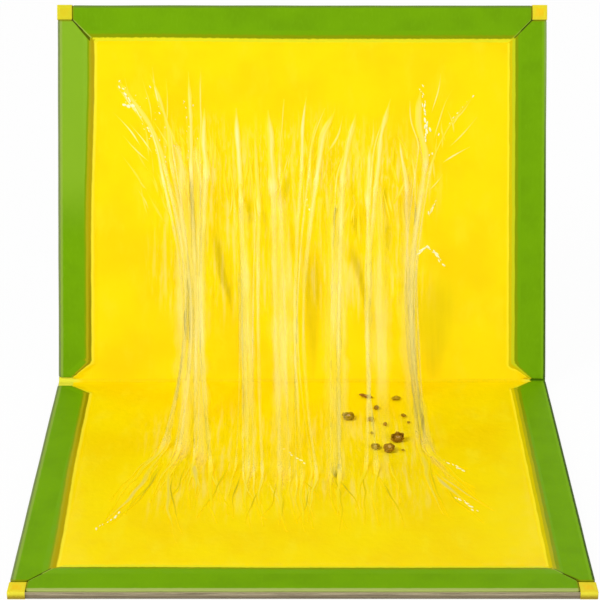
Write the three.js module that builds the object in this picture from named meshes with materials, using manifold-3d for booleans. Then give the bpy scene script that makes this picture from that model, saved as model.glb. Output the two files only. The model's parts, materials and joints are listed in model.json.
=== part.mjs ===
// A folding glue board for mice, standing open like a book.
// Each leaf is a laminate: outer cover paper, greyboard, yellow liner, then green edge strips round a pad of glue.
// Paper joins the two leaves across the fold, and glue has drawn out in strings between the two pads.
// Millimetres. +X runs along the fold, +Y from the front edge to the fold, +Z up.
// The origin is the centre of the lower leaf's underside.
import * as THREE from "three";
import { mergeVertices } from "three/addons/utils/BufferGeometryUtils.js";
import Module from "manifold-3d";

const wasm = await Module();
wasm.setup();

// Leaves: width along the fold, depth from the fold to the outer edge
const LEAF_WIDTH = 215;
const LEAF_DEPTH = 165;
const LEAF_THICKNESS = 3.7;
const OPENING_ANGLE = THREE.MathUtils.degToRad(113.7);

// Layers of a leaf, with the thin film of adhesive between them
const STRIP_THICKNESS = 0.8;
const LINER_THICKNESS = 0.25;
const COVER_THICKNESS = 0.3;
const ADHESIVE = 0.08;
const BOARD_THICKNESS =
  LEAF_THICKNESS - STRIP_THICKNESS - LINER_THICKNESS - COVER_THICKNESS - 3 * ADHESIVE;

// Fold: the boards stand back from the hinge axis, and the papers bridge them
const BOARD_SETBACK = 1.5;
const FOLD_JOINT_GAP = 0.1;
const SPINE_SEGMENTS = 10;

// Green edge strips
const STRIP_WIDTH = 14.2;
const MITRE_GAP = 0.3;
const STRIP_FLAT_END = 5.8;
const CHAMFER_ACROSS = 8.2;
const CHAMFER_ALONG = 6.8;
// How far each side strip's end stands from the hinge axis
const STRIP_END_GAP = {
  lower: { left: 5, right: 0.5 },
  upper: { left: 1.3, right: 0.6 },
};

// Yellow corner patches, folded down over the board's two edges
const CORNER_SIZE = 6.2;
const CORNER_PAPER = 0.3;
const CORNER_CLEARANCE = 0.05;
const CORNER_SKIRT_RISE = 0.1;

// Glue pads
const PAD_THICKNESS = 0.55;
const PAD_FILM = 0.06;
const PAD_STRIP_GAP = 0.3;
const PAD_FOLD_MARGIN = 7.5;

// Strings of glue: where each starts on the upper pad and ends on the lower pad, as [x, distance from the fold],
// with its radii at the top, the middle and the bottom
const STRING_SIDES = 6;
const STRING_STEPS = 10;
const STRING_END_GAP = 0.4;
const STRING_SAG = 0.12;
const GLUE_STRINGS = [
  { top: [-66, 102], bottom: [-62, 78], radii: [0.8, 0.5, 0.9] },
  { top: [-58, 95], bottom: [-57, 68], radii: [1.1, 0.7, 1.2] },
  { top: [-51, 84], bottom: [-50, 71], radii: [1.4, 0.9, 1.3] },
  { top: [-43, 89], bottom: [-42, 78], radii: [1.1, 0.8, 1.2] },
  { top: [-27, 84], bottom: [-27, 86], radii: [1.2, 0.7, 1.0] },
  { top: [-17, 93], bottom: [-16, 78], radii: [0.9, 0.5, 0.9] },
  { top: [-1, 84], bottom: [-1, 90], radii: [1.0, 0.6, 1.0] },
  { top: [9, 95], bottom: [9, 82], radii: [1.2, 0.7, 1.1] },
  { top: [19, 93], bottom: [20, 78], radii: [1.1, 0.6, 1.0] },
  { top: [34, 102], bottom: [34, 76], radii: [1.0, 0.5, 0.9] },
  { top: [47, 89], bottom: [47, 61], radii: [1.5, 1.0, 1.4] },
  { top: [56, 97], bottom: [57, 72], radii: [1.3, 0.8, 1.3] },
];

// Bait crumbs on the lower pad: place as [x, distance from the fold], size as [length, width, height],
// and turn about the vertical in degrees
const CRUMB_FILM = 0.05;
const CRUMB_ROUGHNESS = 0.16;
const CRUMB_FLAT_LEVEL = -0.45;
const BAIT_CRUMBS = [
  { place: [27.6, 15.3], size: [6.2, 2.2, 1.3], turn: -24 },
  { place: [40.7, 17.3], size: [3.9, 2.6, 1.4], turn: 12 },
  { place: [32, 25.9], size: [2.6, 2.2, 1.5], turn: 30 },
  { place: [19.7, 34.6], size: [5.4, 4.4, 2.5], turn: -15 },
  { place: [29.1, 36.1], size: [2.9, 2.0, 1.6], turn: 62 },
  { place: [43.2, 32.9], size: [2.4, 2.0, 1.2], turn: -8 },
  { place: [45, 38.5], size: [1.4, 1.2, 0.9], turn: 0 },
  { place: [35, 40.5], size: [2.2, 1.8, 1.4], turn: 75 },
  { place: [29.3, 48], size: [1.8, 1.6, 1.1], turn: 20 },
  { place: [39.9, 53.8], size: [5.7, 4.8, 3.4], turn: 24 },
  { place: [30.2, 60], size: [3.8, 3.4, 2.0], turn: -20 },
  { place: [36, 62.3], size: [4.8, 4.3, 3.1], turn: 40 },
  { place: [41.5, 62.4], size: [1.5, 1.3, 0.9], turn: 10 },
];

// Heights in a leaf, measured from the plane of its strips, which holds the hinge axis
const STRIP_BOTTOM = -STRIP_THICKNESS;
const LINER_TOP = STRIP_BOTTOM - ADHESIVE;
const LINER_BOTTOM = LINER_TOP - LINER_THICKNESS;
const BOARD_TOP = LINER_BOTTOM - ADHESIVE;
const BOARD_BOTTOM = BOARD_TOP - BOARD_THICKNESS;
const COVER_TOP = BOARD_BOTTOM - ADHESIVE;
const COVER_BOTTOM = -LEAF_THICKNESS;
const PAD_BOTTOM = LINER_TOP + PAD_FILM;
const PAD_TOP = PAD_BOTTOM + PAD_THICKNESS;

const HALF_WIDTH = LEAF_WIDTH / 2;
const FOLD_ORIGIN = new THREE.Vector3(0, LEAF_DEPTH / 2, LEAF_THICKNESS);
const UPPER_TILT = Math.PI - OPENING_ANGLE;

function material(color, roughness) {
  return new THREE.MeshStandardMaterial({ color, roughness, metalness: 0 });
}

const BOARD_GREY = material(0x9c917c, 0.9);
const LINER_YELLOW = material(0xf7dc10, 0.6);
const COVER_GREEN = material(0x5f9410, 0.55);
const STRIP_GREEN = material(0x73a806, 0.5);
const CORNER_YELLOW = material(0xf2d21a, 0.55);
const GLUE_CLEAR = material(0xf6e04a, 0.15);
const STRING_PALE = material(0xf3ecc4, 0.2);
const CRUMB_BROWN = material(0x8a5a1c, 0.85);

function named(name, geometry, finish) {
  const mesh = new THREE.Mesh(geometry, finish);
  mesh.name = name;
  return mesh;
}

// A flat layer of a leaf. Its outline is a list of [x, distance from the fold] points.
// side is -1 for the lower leaf, which lies in front of the fold, and 1 for the upper leaf, which lies behind it.
function layer(outline, bottom, top, side) {
  const points = outline.map(([x, distance]) => new THREE.Vector2(x, side * distance));
  const geometry = new THREE.ExtrudeGeometry(new THREE.Shape(points), {
    depth: top - bottom,
    bevelEnabled: false,
  });
  return geometry.translate(0, 0, bottom);
}

function rectangle(halfWidth, near, far) {
  return [
    [-halfWidth, near],
    [halfWidth, near],
    [halfWidth, far],
    [-halfWidth, far],
  ];
}

// A side strip: mitred at the outer corner, square then chamfered at the fold. hand is -1 for left, 1 for right.
function sideStripOutline(hand, endGap) {
  const outer = HALF_WIDTH;
  const inner = HALF_WIDTH - STRIP_WIDTH;
  const cornerEdge = HALF_WIDTH - CORNER_SIZE;
  const mitreShift = MITRE_GAP / Math.SQRT2;
  const points = [
    [outer, endGap],
    [outer - STRIP_FLAT_END, endGap],
    [outer - STRIP_FLAT_END - CHAMFER_ACROSS, endGap + CHAMFER_ALONG],
    [inner, LEAF_DEPTH - STRIP_WIDTH - mitreShift],
    [cornerEdge, LEAF_DEPTH - CORNER_SIZE - mitreShift],
    [outer, LEAF_DEPTH - CORNER_SIZE - mitreShift],
  ];
  return points.map(([x, distance]) => [hand * x, distance]);
}

// The strip along the outer edge, mitred at both ends
function outerStripOutline() {
  const inner = HALF_WIDTH - STRIP_WIDTH;
  const cornerEdge = HALF_WIDTH - CORNER_SIZE;
  const mitreShift = MITRE_GAP / Math.SQRT2;
  const right = [
    [cornerEdge - mitreShift, LEAF_DEPTH],
    [cornerEdge - mitreShift, LEAF_DEPTH - CORNER_SIZE],
    [inner - mitreShift, LEAF_DEPTH - STRIP_WIDTH],
  ];
  const left = right.map(([x, distance]) => [-x, distance]).reverse();
  return [...right, ...left];
}

function solidOf(geometry) {
  const bare = geometry.clone();
  bare.deleteAttribute("normal");
  bare.deleteAttribute("uv");
  const merged = mergeVertices(bare);
  return new wasm.Manifold(
    new wasm.Mesh({
      numProp: 3,
      vertProperties: merged.attributes.position.array,
      triVerts: new Uint32Array(merged.index.array),
    }),
  );
}

function geometryOf(solid) {
  const mesh = solid.getMesh();
  const geometry = new THREE.BufferGeometry();
  geometry.setAttribute("position", new THREE.BufferAttribute(mesh.vertProperties, mesh.numProp));
  geometry.setIndex(new THREE.BufferAttribute(mesh.triVerts, 1));
  geometry.computeVertexNormals();
  return geometry;
}

// A block between two corners, each given as [x, distance from the fold, height]
function block(low, high, side) {
  const size = high.map((value, i) => Math.abs(value - low[i]));
  const middle = high.map((value, i) => (value + low[i]) / 2);
  return new THREE.BoxGeometry(...size).translate(middle[0], side * middle[1], middle[2]);
}

// A corner patch: a small square on top of the liner, with a skirt down each outer edge of the leaf
function cornerPatch(hand, side) {
  const inside = HALF_WIDTH - CORNER_SIZE;
  const outside = HALF_WIDTH + CORNER_CLEARANCE;
  const near = LEAF_DEPTH - CORNER_SIZE;
  const far = LEAF_DEPTH + CORNER_CLEARANCE;
  const floor = STRIP_BOTTOM;
  const hem = COVER_BOTTOM + CORNER_SKIRT_RISE;
  const body = block(
    [hand * inside, near, hem],
    [hand * (outside + CORNER_PAPER), far + CORNER_PAPER, floor + CORNER_PAPER],
    side,
  );
  const core = block(
    [hand * (inside - CORNER_SIZE), near - CORNER_SIZE, hem - CORNER_SIZE],
    [hand * outside, far, floor],
    side,
  );
  return geometryOf(solidOf(body).subtract(solidOf(core)));
}

// All the layers of one leaf, in the leaf's own frame: the fold along X, the strips' plane at z = 0
function leaf(prefix, side) {
  const group = new THREE.Group();
  const padHalfWidth = HALF_WIDTH - STRIP_WIDTH - PAD_STRIP_GAP;
  const padFar = LEAF_DEPTH - STRIP_WIDTH - PAD_STRIP_GAP;
  const sheet = rectangle(HALF_WIDTH, BOARD_SETBACK, LEAF_DEPTH);
  const pad = rectangle(padHalfWidth, PAD_FOLD_MARGIN, padFar);
  const add = (name, geometry, finish) => group.add(named(`${prefix}_${name}`, geometry, finish));

  add("outer_cover", layer(sheet, COVER_BOTTOM, COVER_TOP, side), COVER_GREEN);
  add("greyboard", layer(sheet, BOARD_BOTTOM, BOARD_TOP, side), BOARD_GREY);
  add("liner", layer(sheet, LINER_BOTTOM, LINER_TOP, side), LINER_YELLOW);
  add("glue_pad", layer(pad, PAD_BOTTOM, PAD_TOP, side), GLUE_CLEAR);
  add("outer_edge_strip", layer(outerStripOutline(), STRIP_BOTTOM, 0, side), STRIP_GREEN);
  for (const [handName, hand] of [["left", -1], ["right", 1]]) {
    const outline = sideStripOutline(hand, STRIP_END_GAP[prefix][handName]);
    add(`${handName}_edge_strip`, layer(outline, STRIP_BOTTOM, 0, side), STRIP_GREEN);
    add(`${handName}_corner_patch`, cornerPatch(hand, side), CORNER_YELLOW);
  }
  return group;
}

// Points of the fold's cross-section as (y, z) from the hinge axis
function lowerPoint(distance, height) {
  return new THREE.Vector2(-distance, height);
}

function upperPoint(distance, height) {
  return new THREE.Vector2(distance, height).rotateAround(new THREE.Vector2(), UPPER_TILT);
}

// Where a layer at this height in the lower leaf meets the same layer of the upper leaf
function foldApex(height) {
  return lowerPoint(height / Math.tan(OPENING_ANGLE / 2), height);
}

// A section in the plane across the fold, carried along the whole width of the leaves
function alongFold(section) {
  const geometry = new THREE.ExtrudeGeometry(new THREE.Shape(section), {
    depth: LEAF_WIDTH,
    bevelEnabled: false,
  });
  const acrossToWorld = new THREE.Matrix4().makeBasis(
    new THREE.Vector3(0, 1, 0),
    new THREE.Vector3(0, 0, 1),
    new THREE.Vector3(1, 0, 0),
  );
  return geometry
    .applyMatrix4(acrossToWorld)
    .translate(-HALF_WIDTH, FOLD_ORIGIN.y, FOLD_ORIGIN.z);
}

// The yellow paper in the bottom of the fold
function foldLiner() {
  const end = BOARD_SETBACK - FOLD_JOINT_GAP;
  return alongFold([
    lowerPoint(end, LINER_TOP),
    foldApex(LINER_TOP),
    upperPoint(end, LINER_TOP),
    upperPoint(end, LINER_BOTTOM),
    foldApex(LINER_BOTTOM),
    lowerPoint(end, LINER_BOTTOM),
  ]);
}

// The cover paper round the back of the fold: a flat tail on each leaf, and an arc about the hinge axis
function spineCover() {
  const end = BOARD_SETBACK - FOLD_JOINT_GAP;
  const arc = (radius) =>
    Array.from({ length: SPINE_SEGMENTS + 1 }, (_, i) =>
      new THREE.Vector2(0, -radius).rotateAround(
        new THREE.Vector2(),
        (UPPER_TILT * i) / SPINE_SEGMENTS,
      ),
    );
  return alongFold([
    lowerPoint(end, COVER_BOTTOM),
    ...arc(-COVER_BOTTOM),
    upperPoint(end, COVER_BOTTOM),
    upperPoint(end, COVER_TOP),
    ...arc(-COVER_TOP).reverse(),
    lowerPoint(end, COVER_TOP),
  ]);
}

// A place on a leaf as a point of the whole part
function onLeaf(section, x) {
  return new THREE.Vector3(x, section.x, section.y).add(FOLD_ORIGIN);
}

// A closed tapered strand along a curve, round in section
function strand(curve, radii) {
  const taper = new THREE.QuadraticBezierCurve(
    new THREE.Vector2(0, radii[0]),
    new THREE.Vector2(0.5, 2 * radii[1] - (radii[0] + radii[2]) / 2),
    new THREE.Vector2(1, radii[2]),
  );
  const frames = curve.computeFrenetFrames(STRING_STEPS);
  const positions = [];
  for (let step = 0; step <= STRING_STEPS; step += 1) {
    const share = step / STRING_STEPS;
    const centre = curve.getPointAt(share);
    const radius = taper.getPoint(share).y;
    for (let side = 0; side < STRING_SIDES; side += 1) {
      const angle = (2 * Math.PI * side) / STRING_SIDES;
      const point = centre
        .clone()
        .addScaledVector(frames.normals[step], radius * Math.cos(angle))
        .addScaledVector(frames.binormals[step], radius * Math.sin(angle));
      positions.push(...point.toArray());
    }
  }
  const index = [];
  for (let step = 0; step < STRING_STEPS; step += 1) {
    for (let side = 0; side < STRING_SIDES; side += 1) {
      const here = step * STRING_SIDES + side;
      const beside = step * STRING_SIDES + ((side + 1) % STRING_SIDES);
      index.push(here, beside, here + STRING_SIDES);
      index.push(beside, beside + STRING_SIDES, here + STRING_SIDES);
    }
  }
  const last = STRING_STEPS * STRING_SIDES;
  for (let side = 1; side < STRING_SIDES - 1; side += 1) {
    index.push(0, side + 1, side);
    index.push(last, last + side, last + side + 1);
  }
  const geometry = new THREE.BufferGeometry();
  geometry.setAttribute("position", new THREE.Float32BufferAttribute(positions, 3));
  geometry.setIndex(index);
  geometry.computeVertexNormals();
  return geometry;
}

// A string of glue from the upper pad to the lower pad, sagging a little towards the fold
function glueString({ top, bottom, radii }) {
  const [topX, topDistance] = top;
  const [bottomX, bottomDistance] = bottom;
  const start = onLeaf(upperPoint(topDistance, PAD_TOP + radii[0] + STRING_END_GAP), topX);
  const end = onLeaf(lowerPoint(bottomDistance, PAD_TOP + radii[2] + STRING_END_GAP), bottomX);
  const middle = start.clone().lerp(end, 0.5);
  const foldPoint = new THREE.Vector3(middle.x, FOLD_ORIGIN.y, FOLD_ORIGIN.z);
  middle.lerp(foldPoint, STRING_SAG);
  return strand(new THREE.QuadraticBezierCurve3(start, middle, end), radii);
}

// A rough crumb with a flat underside, resting on the lower pad
function baitCrumb({ place, size, turn }, order) {
  const ball = new THREE.IcosahedronGeometry(1, 1);
  ball.deleteAttribute("normal");
  ball.deleteAttribute("uv");
  const geometry = mergeVertices(ball);
  const points = geometry.attributes.position;
  const point = new THREE.Vector3();
  for (let i = 0; i < points.count; i += 1) {
    const dent = 1 - CRUMB_ROUGHNESS * (0.5 + 0.5 * Math.sin(5.3 * i + 2.1 * order));
    point.fromBufferAttribute(points, i).multiplyScalar(dent);
    points.setXYZ(i, point.x, point.y, Math.max(point.z, CRUMB_FLAT_LEVEL));
  }
  const [length, width, height] = size;
  geometry.translate(0, 0, -CRUMB_FLAT_LEVEL);
  geometry.scale(length / 2, width / 2, height / (1 - CRUMB_FLAT_LEVEL));
  geometry.rotateZ(THREE.MathUtils.degToRad(turn));
  const [x, distance] = place;
  const seat = onLeaf(lowerPoint(distance, PAD_TOP + CRUMB_FILM), x);
  geometry.translate(seat.x, seat.y, seat.z);
  geometry.computeVertexNormals();
  return geometry;
}

const twoDigits = (number) => String(number).padStart(2, "0");

const trap = new THREE.Group();

const lowerLeaf = leaf("lower", -1);
lowerLeaf.position.copy(FOLD_ORIGIN);
trap.add(lowerLeaf);

const upperLeaf = leaf("upper", 1);
upperLeaf.position.copy(FOLD_ORIGIN);
upperLeaf.rotation.x = UPPER_TILT;
trap.add(upperLeaf);

trap.add(named("fold_liner", foldLiner(), LINER_YELLOW));
trap.add(named("spine_cover", spineCover(), COVER_GREEN));

GLUE_STRINGS.forEach((string, i) => {
  trap.add(named(`glue_string_${twoDigits(i + 1)}`, glueString(string), STRING_PALE));
});

BAIT_CRUMBS.forEach((crumb, i) => {
  trap.add(named(`bait_crumb_${twoDigits(i + 1)}`, baitCrumb(crumb, i), CRUMB_BROWN));
});

export default trap;
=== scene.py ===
# %% [markdown]
# # A folding glue board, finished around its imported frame
# The object is a mouse trap made like a book. Two stiff board leaves are lined with yellow paper, edged
# with green strips and coated with clear glue. It stands open, and the glue has drawn out in strings
# between the leaves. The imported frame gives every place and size, so the finish is built around it and
# nothing is fitted by eye.

import json
import math
import random
from collections import namedtuple

import bpy
from mathutils import Matrix, Vector, noise


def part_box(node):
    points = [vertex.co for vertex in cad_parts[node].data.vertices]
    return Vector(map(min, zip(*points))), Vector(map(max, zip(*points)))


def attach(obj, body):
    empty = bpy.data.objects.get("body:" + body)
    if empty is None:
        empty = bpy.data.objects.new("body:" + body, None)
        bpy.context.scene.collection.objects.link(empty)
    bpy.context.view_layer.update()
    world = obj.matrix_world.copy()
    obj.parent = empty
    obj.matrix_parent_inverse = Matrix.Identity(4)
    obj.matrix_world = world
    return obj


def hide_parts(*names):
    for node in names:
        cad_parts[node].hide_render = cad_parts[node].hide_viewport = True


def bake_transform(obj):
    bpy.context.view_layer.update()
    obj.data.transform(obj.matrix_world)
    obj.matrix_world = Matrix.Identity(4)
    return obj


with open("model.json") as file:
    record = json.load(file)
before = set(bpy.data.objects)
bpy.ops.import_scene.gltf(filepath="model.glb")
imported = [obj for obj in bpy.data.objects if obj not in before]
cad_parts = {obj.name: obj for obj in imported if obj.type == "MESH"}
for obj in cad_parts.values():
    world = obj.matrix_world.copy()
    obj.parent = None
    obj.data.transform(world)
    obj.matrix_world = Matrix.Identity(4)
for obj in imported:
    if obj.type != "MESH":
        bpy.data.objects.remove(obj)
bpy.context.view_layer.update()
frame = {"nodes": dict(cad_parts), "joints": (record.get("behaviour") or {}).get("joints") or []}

# %% [markdown]
# ## One language for both leaves
# Both leaves are the same laminate, so it helps to describe a place on either by three numbers in
# millimetres: x along the fold, the distance from the fold, and the height over the plane of the green
# strips. The hinge joint of the frame gives the fold's place, and its opening limit tells how far the
# upper leaf is raised.

# %% Places on a leaf
MM = 0.001
hinge = frame["joints"][0]
FOLD = Vector(hinge["pos_m"])
TILT = math.radians(-hinge["range_deg"][0])
LEAVES = {"lower": -1, "upper": 1}
HANDS = {"left": -1, "right": 1}
RAISE = Matrix.Translation(FOLD) @ Matrix.Rotation(TILT, 4, "X") @ Matrix.Translation(-FOLD)


def flat_place(leaf, x, distance, height):
    """A place on a leaf while the board lies open flat."""
    return FOLD + MM * Vector((x, LEAVES[leaf] * distance, height))


def place(leaf, x, distance, height):
    """The same place on the leaf as it stands."""
    spot = flat_place(leaf, x, distance, height)
    return RAISE @ spot if leaf == "upper" else spot


def leaf_numbers(leaf, spot):
    """x, distance and height in millimetres of a point of the flat board."""
    offset = (spot - FOLD) / MM
    return offset.x, LEAVES[leaf] * offset.y, offset.z


def leaf_box(node):
    """Lowest and highest x, distance and height of a CAD node, in its own leaf."""
    leaf = node.split("_")[0]
    lay_down = RAISE.inverted() if leaf == "upper" else Matrix.Identity(4)
    spots = [leaf_numbers(leaf, lay_down @ v.co) for v in frame["nodes"][node].data.vertices]
    return [min(s[i] for s in spots) for i in range(3)], [max(s[i] for s in spots) for i in range(3)]


_, board_high = leaf_box("lower_greyboard")
strip_low, _ = leaf_box("lower_right_edge_strip")
patch_low, patch_high = leaf_box("lower_right_corner_patch")
HALF_WIDTH = board_high[0]
DEPTH = board_high[1]
STRIP_INNER = strip_low[0]
STRIP_THICK = -strip_low[2]
CORNER = HALF_WIDTH - patch_low[0]
FAR_INNER = leaf_box("lower_outer_edge_strip")[0][1]
print("leaf", HALF_WIDTH * 2, "x", DEPTH, "mm, strips from x", STRIP_INNER, "and distance", FAR_INNER)

# %% [markdown]
# ## Camera
# The photo was taken from the front, from a little above, with a long lens. Six corners of the two leaves
# fix the viewpoint, so the camera is placed by those numbers, measured from the middle of the fold.

# %% Camera
CAMERA_FROM_FOLD = Vector((-1.2, -752.7, 394.0)) * MM
CAMERA_PITCH = math.radians(25.24)
CAMERA_YAW = math.radians(0.02)
CAMERA_ROLL = math.radians(0.02)
PHOTO_PIXELS = 600
FOCAL_PIXELS = 1921
SENSOR = 36

camera_data = bpy.data.cameras.new("photo_camera")
camera_data.sensor_width = SENSOR
camera_data.lens = FOCAL_PIXELS / PHOTO_PIXELS * SENSOR
camera = bpy.data.objects.new("photo_camera", camera_data)
bpy.context.scene.collection.objects.link(camera)
camera.matrix_world = (
    Matrix.Translation(FOLD + CAMERA_FROM_FOLD)
    @ Matrix.Rotation(-CAMERA_YAW, 4, "Z")
    @ Matrix.Rotation(math.pi / 2 - CAMERA_PITCH, 4, "X")
    @ Matrix.Rotation(CAMERA_ROLL, 4, "Z")
)
bpy.context.scene.camera = camera
print("camera lens", round(camera_data.lens, 1), "mm")

# %% [markdown]
# ## Node tools
# The studio and every material are built from shader nodes. A node and its sockets are filled in by one
# call, and short functions over it do sums, smooth steps, mixing, noise and bump.

# %% Node tools


def node(tree, kind, values=None, **settings):
    """A shader node with its sockets and settings filled in."""
    made = tree.nodes.new(kind)
    for name, value in settings.items():
        setattr(made, name, value)
    for socket, value in (values or {}).items():
        if isinstance(value, bpy.types.NodeSocket):
            tree.links.new(value, made.inputs[socket])
        else:
            made.inputs[socket].default_value = value
    return made


def maths(tree, operation, first, second=0.0, clamp=False):
    made = node(tree, "ShaderNodeMath", {0: first, 1: second}, operation=operation, use_clamp=clamp)
    return made.outputs[0]


def plus(tree, first, second, clamp=False):
    return maths(tree, "ADD", first, second, clamp)


def minus(tree, first, second):
    return maths(tree, "SUBTRACT", first, second)


def times(tree, first, second, clamp=False):
    return maths(tree, "MULTIPLY", first, second, clamp)


def smaller(tree, first, second):
    return maths(tree, "MINIMUM", first, second)


def larger(tree, first, second):
    return maths(tree, "MAXIMUM", first, second)


def unsigned(tree, value):
    return maths(tree, "ABSOLUTE", value)


def ramp(tree, value, low, high, to_low=0.0, to_high=1.0):
    """A smooth step of a value."""
    return node(
        tree,
        "ShaderNodeMapRange",
        {"Value": value, "From Min": low, "From Max": high, "To Min": to_low, "To Max": to_high},
        interpolation_type="SMOOTHSTEP",
    ).outputs[0]


def blend_colour(tree, share, first, second):
    """Two colours mixed by a share."""
    colours = [c if isinstance(c, bpy.types.NodeSocket) else (*c, 1) for c in (first, second)]
    return node(tree, "ShaderNodeMix", {0: share, 6: colours[0], 7: colours[1]}, data_type="RGBA").outputs[2]


def noise_value(tree, vector, scale, detail=3.0, roughness=0.5):
    return node(
        tree,
        "ShaderNodeTexNoise",
        {"Vector": vector, "Scale": scale, "Detail": detail, "Roughness": roughness},
    ).outputs["Fac"]


def stretch(tree, vector, factors):
    return node(tree, "ShaderNodeVectorMath", {0: vector, 1: factors}, operation="MULTIPLY").outputs[0]


def streaky(tree, vector, factors, detail=3.0, roughness=0.5):
    """Noise with its own scale along each axis."""
    return noise_value(tree, stretch(tree, vector, factors), 1.0, detail, roughness)


def bump(tree, height, depth_mm, strength=1.0):
    return node(
        tree,
        "ShaderNodeBump",
        {"Height": height, "Distance": depth_mm * MM, "Strength": strength},
    ).outputs[0]


def attribute(tree, name, output="Vector"):
    return node(tree, "ShaderNodeAttribute", attribute_name=name).outputs[output]


def separate(tree, vector):
    """The three parts of a vector."""
    return node(tree, "ShaderNodeSeparateXYZ", {0: vector}).outputs


def wire(tree, shader, colour, roughness, normal):
    """Joins what changes over the surface to the shader's own sockets."""
    for socket, value in (("Base Color", colour), ("Roughness", roughness), ("Normal", normal)):
        tree.links.new(value, shader.inputs[socket])


def object_place(tree):
    """Object coordinates in millimetres."""
    return stretch(tree, node(tree, "ShaderNodeTexCoord").outputs["Object"], (1 / MM, 1 / MM, 1 / MM))


print("node tools ready")

# %% [markdown]
# ## Light and floor
# The photo is a cut-out on white, lit softly from the upper left: the glue's left edge is shaded and its
# right edge is bright. A large lamp on that side gives this light, with a weaker one on the right and a dim
# world, and the glue's border bands also carry painted shade on the left and painted light on the right.
# The floor and the world turn white only for the camera, so they add no light to the object.

# %% Light
scene = bpy.context.scene
scene.view_settings.view_transform = "Standard"


def area_lamp(name, spot, target, size, power):
    """A soft square lamp that faces a target."""
    data = bpy.data.lights.new(name, "AREA")
    data.size = size
    data.energy = power
    lamp = bpy.data.objects.new(name, data)
    scene.collection.objects.link(lamp)
    lamp.location = spot
    lamp.rotation_euler = (Vector(target) - Vector(spot)).to_track_quat("-Z", "Y").to_euler()
    return lamp


STUDIO_CENTRE = (0, 0.05, 0.06)
area_lamp("key_lamp", (-1.15, -0.7, 1.35), STUDIO_CENTRE, 0.7, 22)
area_lamp("fill_lamp", (1.1, -1.1, 0.9), STUDIO_CENTRE, 1.0, 10)
area_lamp("back_lamp", (0.2, 1.2, 0.9), STUDIO_CENTRE, 1.0, 3)

world = bpy.data.worlds.new("studio")
world.use_nodes = True
scene.world = world
WORLD_LEVEL = 0.3
WHITE = (1, 1, 1, 1)


def seen_white(tree):
    """1 for rays that look at the studio straight on, in a reflection or through glass, 0 for its light."""
    rays = node(tree, "ShaderNodeLightPath").outputs
    mirrored = plus(tree, rays["Is Glossy Ray"], rays["Is Transmission Ray"])
    return plus(tree, rays["Is Camera Ray"], mirrored, clamp=True)


tree = world.node_tree
tree.nodes.clear()
dim = node(tree, "ShaderNodeBackground", {"Color": WHITE, "Strength": WORLD_LEVEL})
white = node(tree, "ShaderNodeBackground", {"Color": WHITE, "Strength": 1.0})
backdrop = node(tree, "ShaderNodeMixShader", {0: seen_white(tree), 1: dim.outputs[0], 2: white.outputs[0]})
node(tree, "ShaderNodeOutputWorld", {"Surface": backdrop.outputs[0]})

# %% Floor
FLOOR_SIZE = 6
FLOOR_LEVEL = -0.0002
FLOOR_GLOW = 0.97
FLOOR_GREY = (0.86, 0.86, 0.86, 1)

bpy.ops.object.select_all(action="DESELECT")
bpy.ops.mesh.primitive_plane_add(size=FLOOR_SIZE, location=(0, 0, FLOOR_LEVEL))
floor = bpy.context.object
floor.name = "floor"
floor_material = bpy.data.materials.new("pale_floor")
floor_material.use_nodes = True
tree = floor_material.node_tree
tree.nodes.clear()
matt = node(tree, "ShaderNodeBsdfDiffuse", {"Color": FLOOR_GREY})
glow = node(tree, "ShaderNodeEmission", {"Color": WHITE, "Strength": 1.0})
share = times(tree, seen_white(tree), FLOOR_GLOW)
surface = node(tree, "ShaderNodeMixShader", {0: share, 1: matt.outputs[0], 2: glow.outputs[0]})
node(tree, "ShaderNodeOutputMaterial", {"Surface": surface.outputs[0]})
floor.data.materials.append(floor_material)

# %% [markdown]
# ## Working tools
# Every piece is made as by hand: a primitive, edit-mode operators on what is selected by place, then
# modifiers. A few helpers keep that short. One of them, settle, writes each point's leaf numbers into an
# attribute before the upper leaf's pieces are raised, so that a pattern follows the leaf as it stands.

# %% Tools
ELEMENTS = ("vertices", "edges", "polygons")
ON_LINE = 0.01


def deselect():
    if bpy.context.object and bpy.context.object.mode != "OBJECT":
        bpy.ops.object.mode_set(mode="OBJECT")
    bpy.ops.object.select_all(action="DESELECT")


def activate(piece):
    """Makes a piece the only selected and the active object."""
    deselect()
    piece.select_set(True)
    bpy.context.view_layer.objects.active = piece


def middle_of(mesh, item):
    if isinstance(item, bpy.types.MeshVertex):
        return item.co
    return sum((mesh.vertices[i].co for i in item.vertices), Vector()) / len(item.vertices)


def pick(piece, what, test):
    """Enters edit mode with the vertices, edges or polygons selected whose middle passes a test."""
    activate(piece)
    mesh = piece.data
    for kind in ELEMENTS:
        getattr(mesh, kind).foreach_set("select", [False] * len(getattr(mesh, kind)))
    chosen = [item for item in getattr(mesh, what) if test(middle_of(mesh, item))]
    for item in chosen:
        item.select = True
    bpy.context.tool_settings.mesh_select_mode = [kind == what for kind in ELEMENTS]
    bpy.ops.object.mode_set(mode="EDIT")
    return len(chosen)


def leave_edit():
    bpy.ops.object.mode_set(mode="OBJECT")


def rename(piece, name):
    """Names an object and its mesh alike."""
    piece.name = name
    piece.data.name = name


def paint(piece, material):
    """Gives a piece one material."""
    piece.data.materials.clear()
    piece.data.materials.append(material)


def join(pieces, name):
    """Joins pieces into one and names it."""
    deselect()
    for piece in pieces:
        piece.select_set(True)
    bpy.context.view_layer.objects.active = pieces[0]
    bpy.ops.object.join()
    joined = bpy.context.object
    rename(joined, name)
    return joined


def modify(piece, kind, **settings):
    """Adds a modifier and applies it."""
    activate(piece)
    modifier = piece.modifiers.new(kind.lower(), kind)
    for name, value in settings.items():
        setattr(modifier, name, value)
    bpy.ops.object.modifier_apply(modifier=modifier.name)


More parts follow.
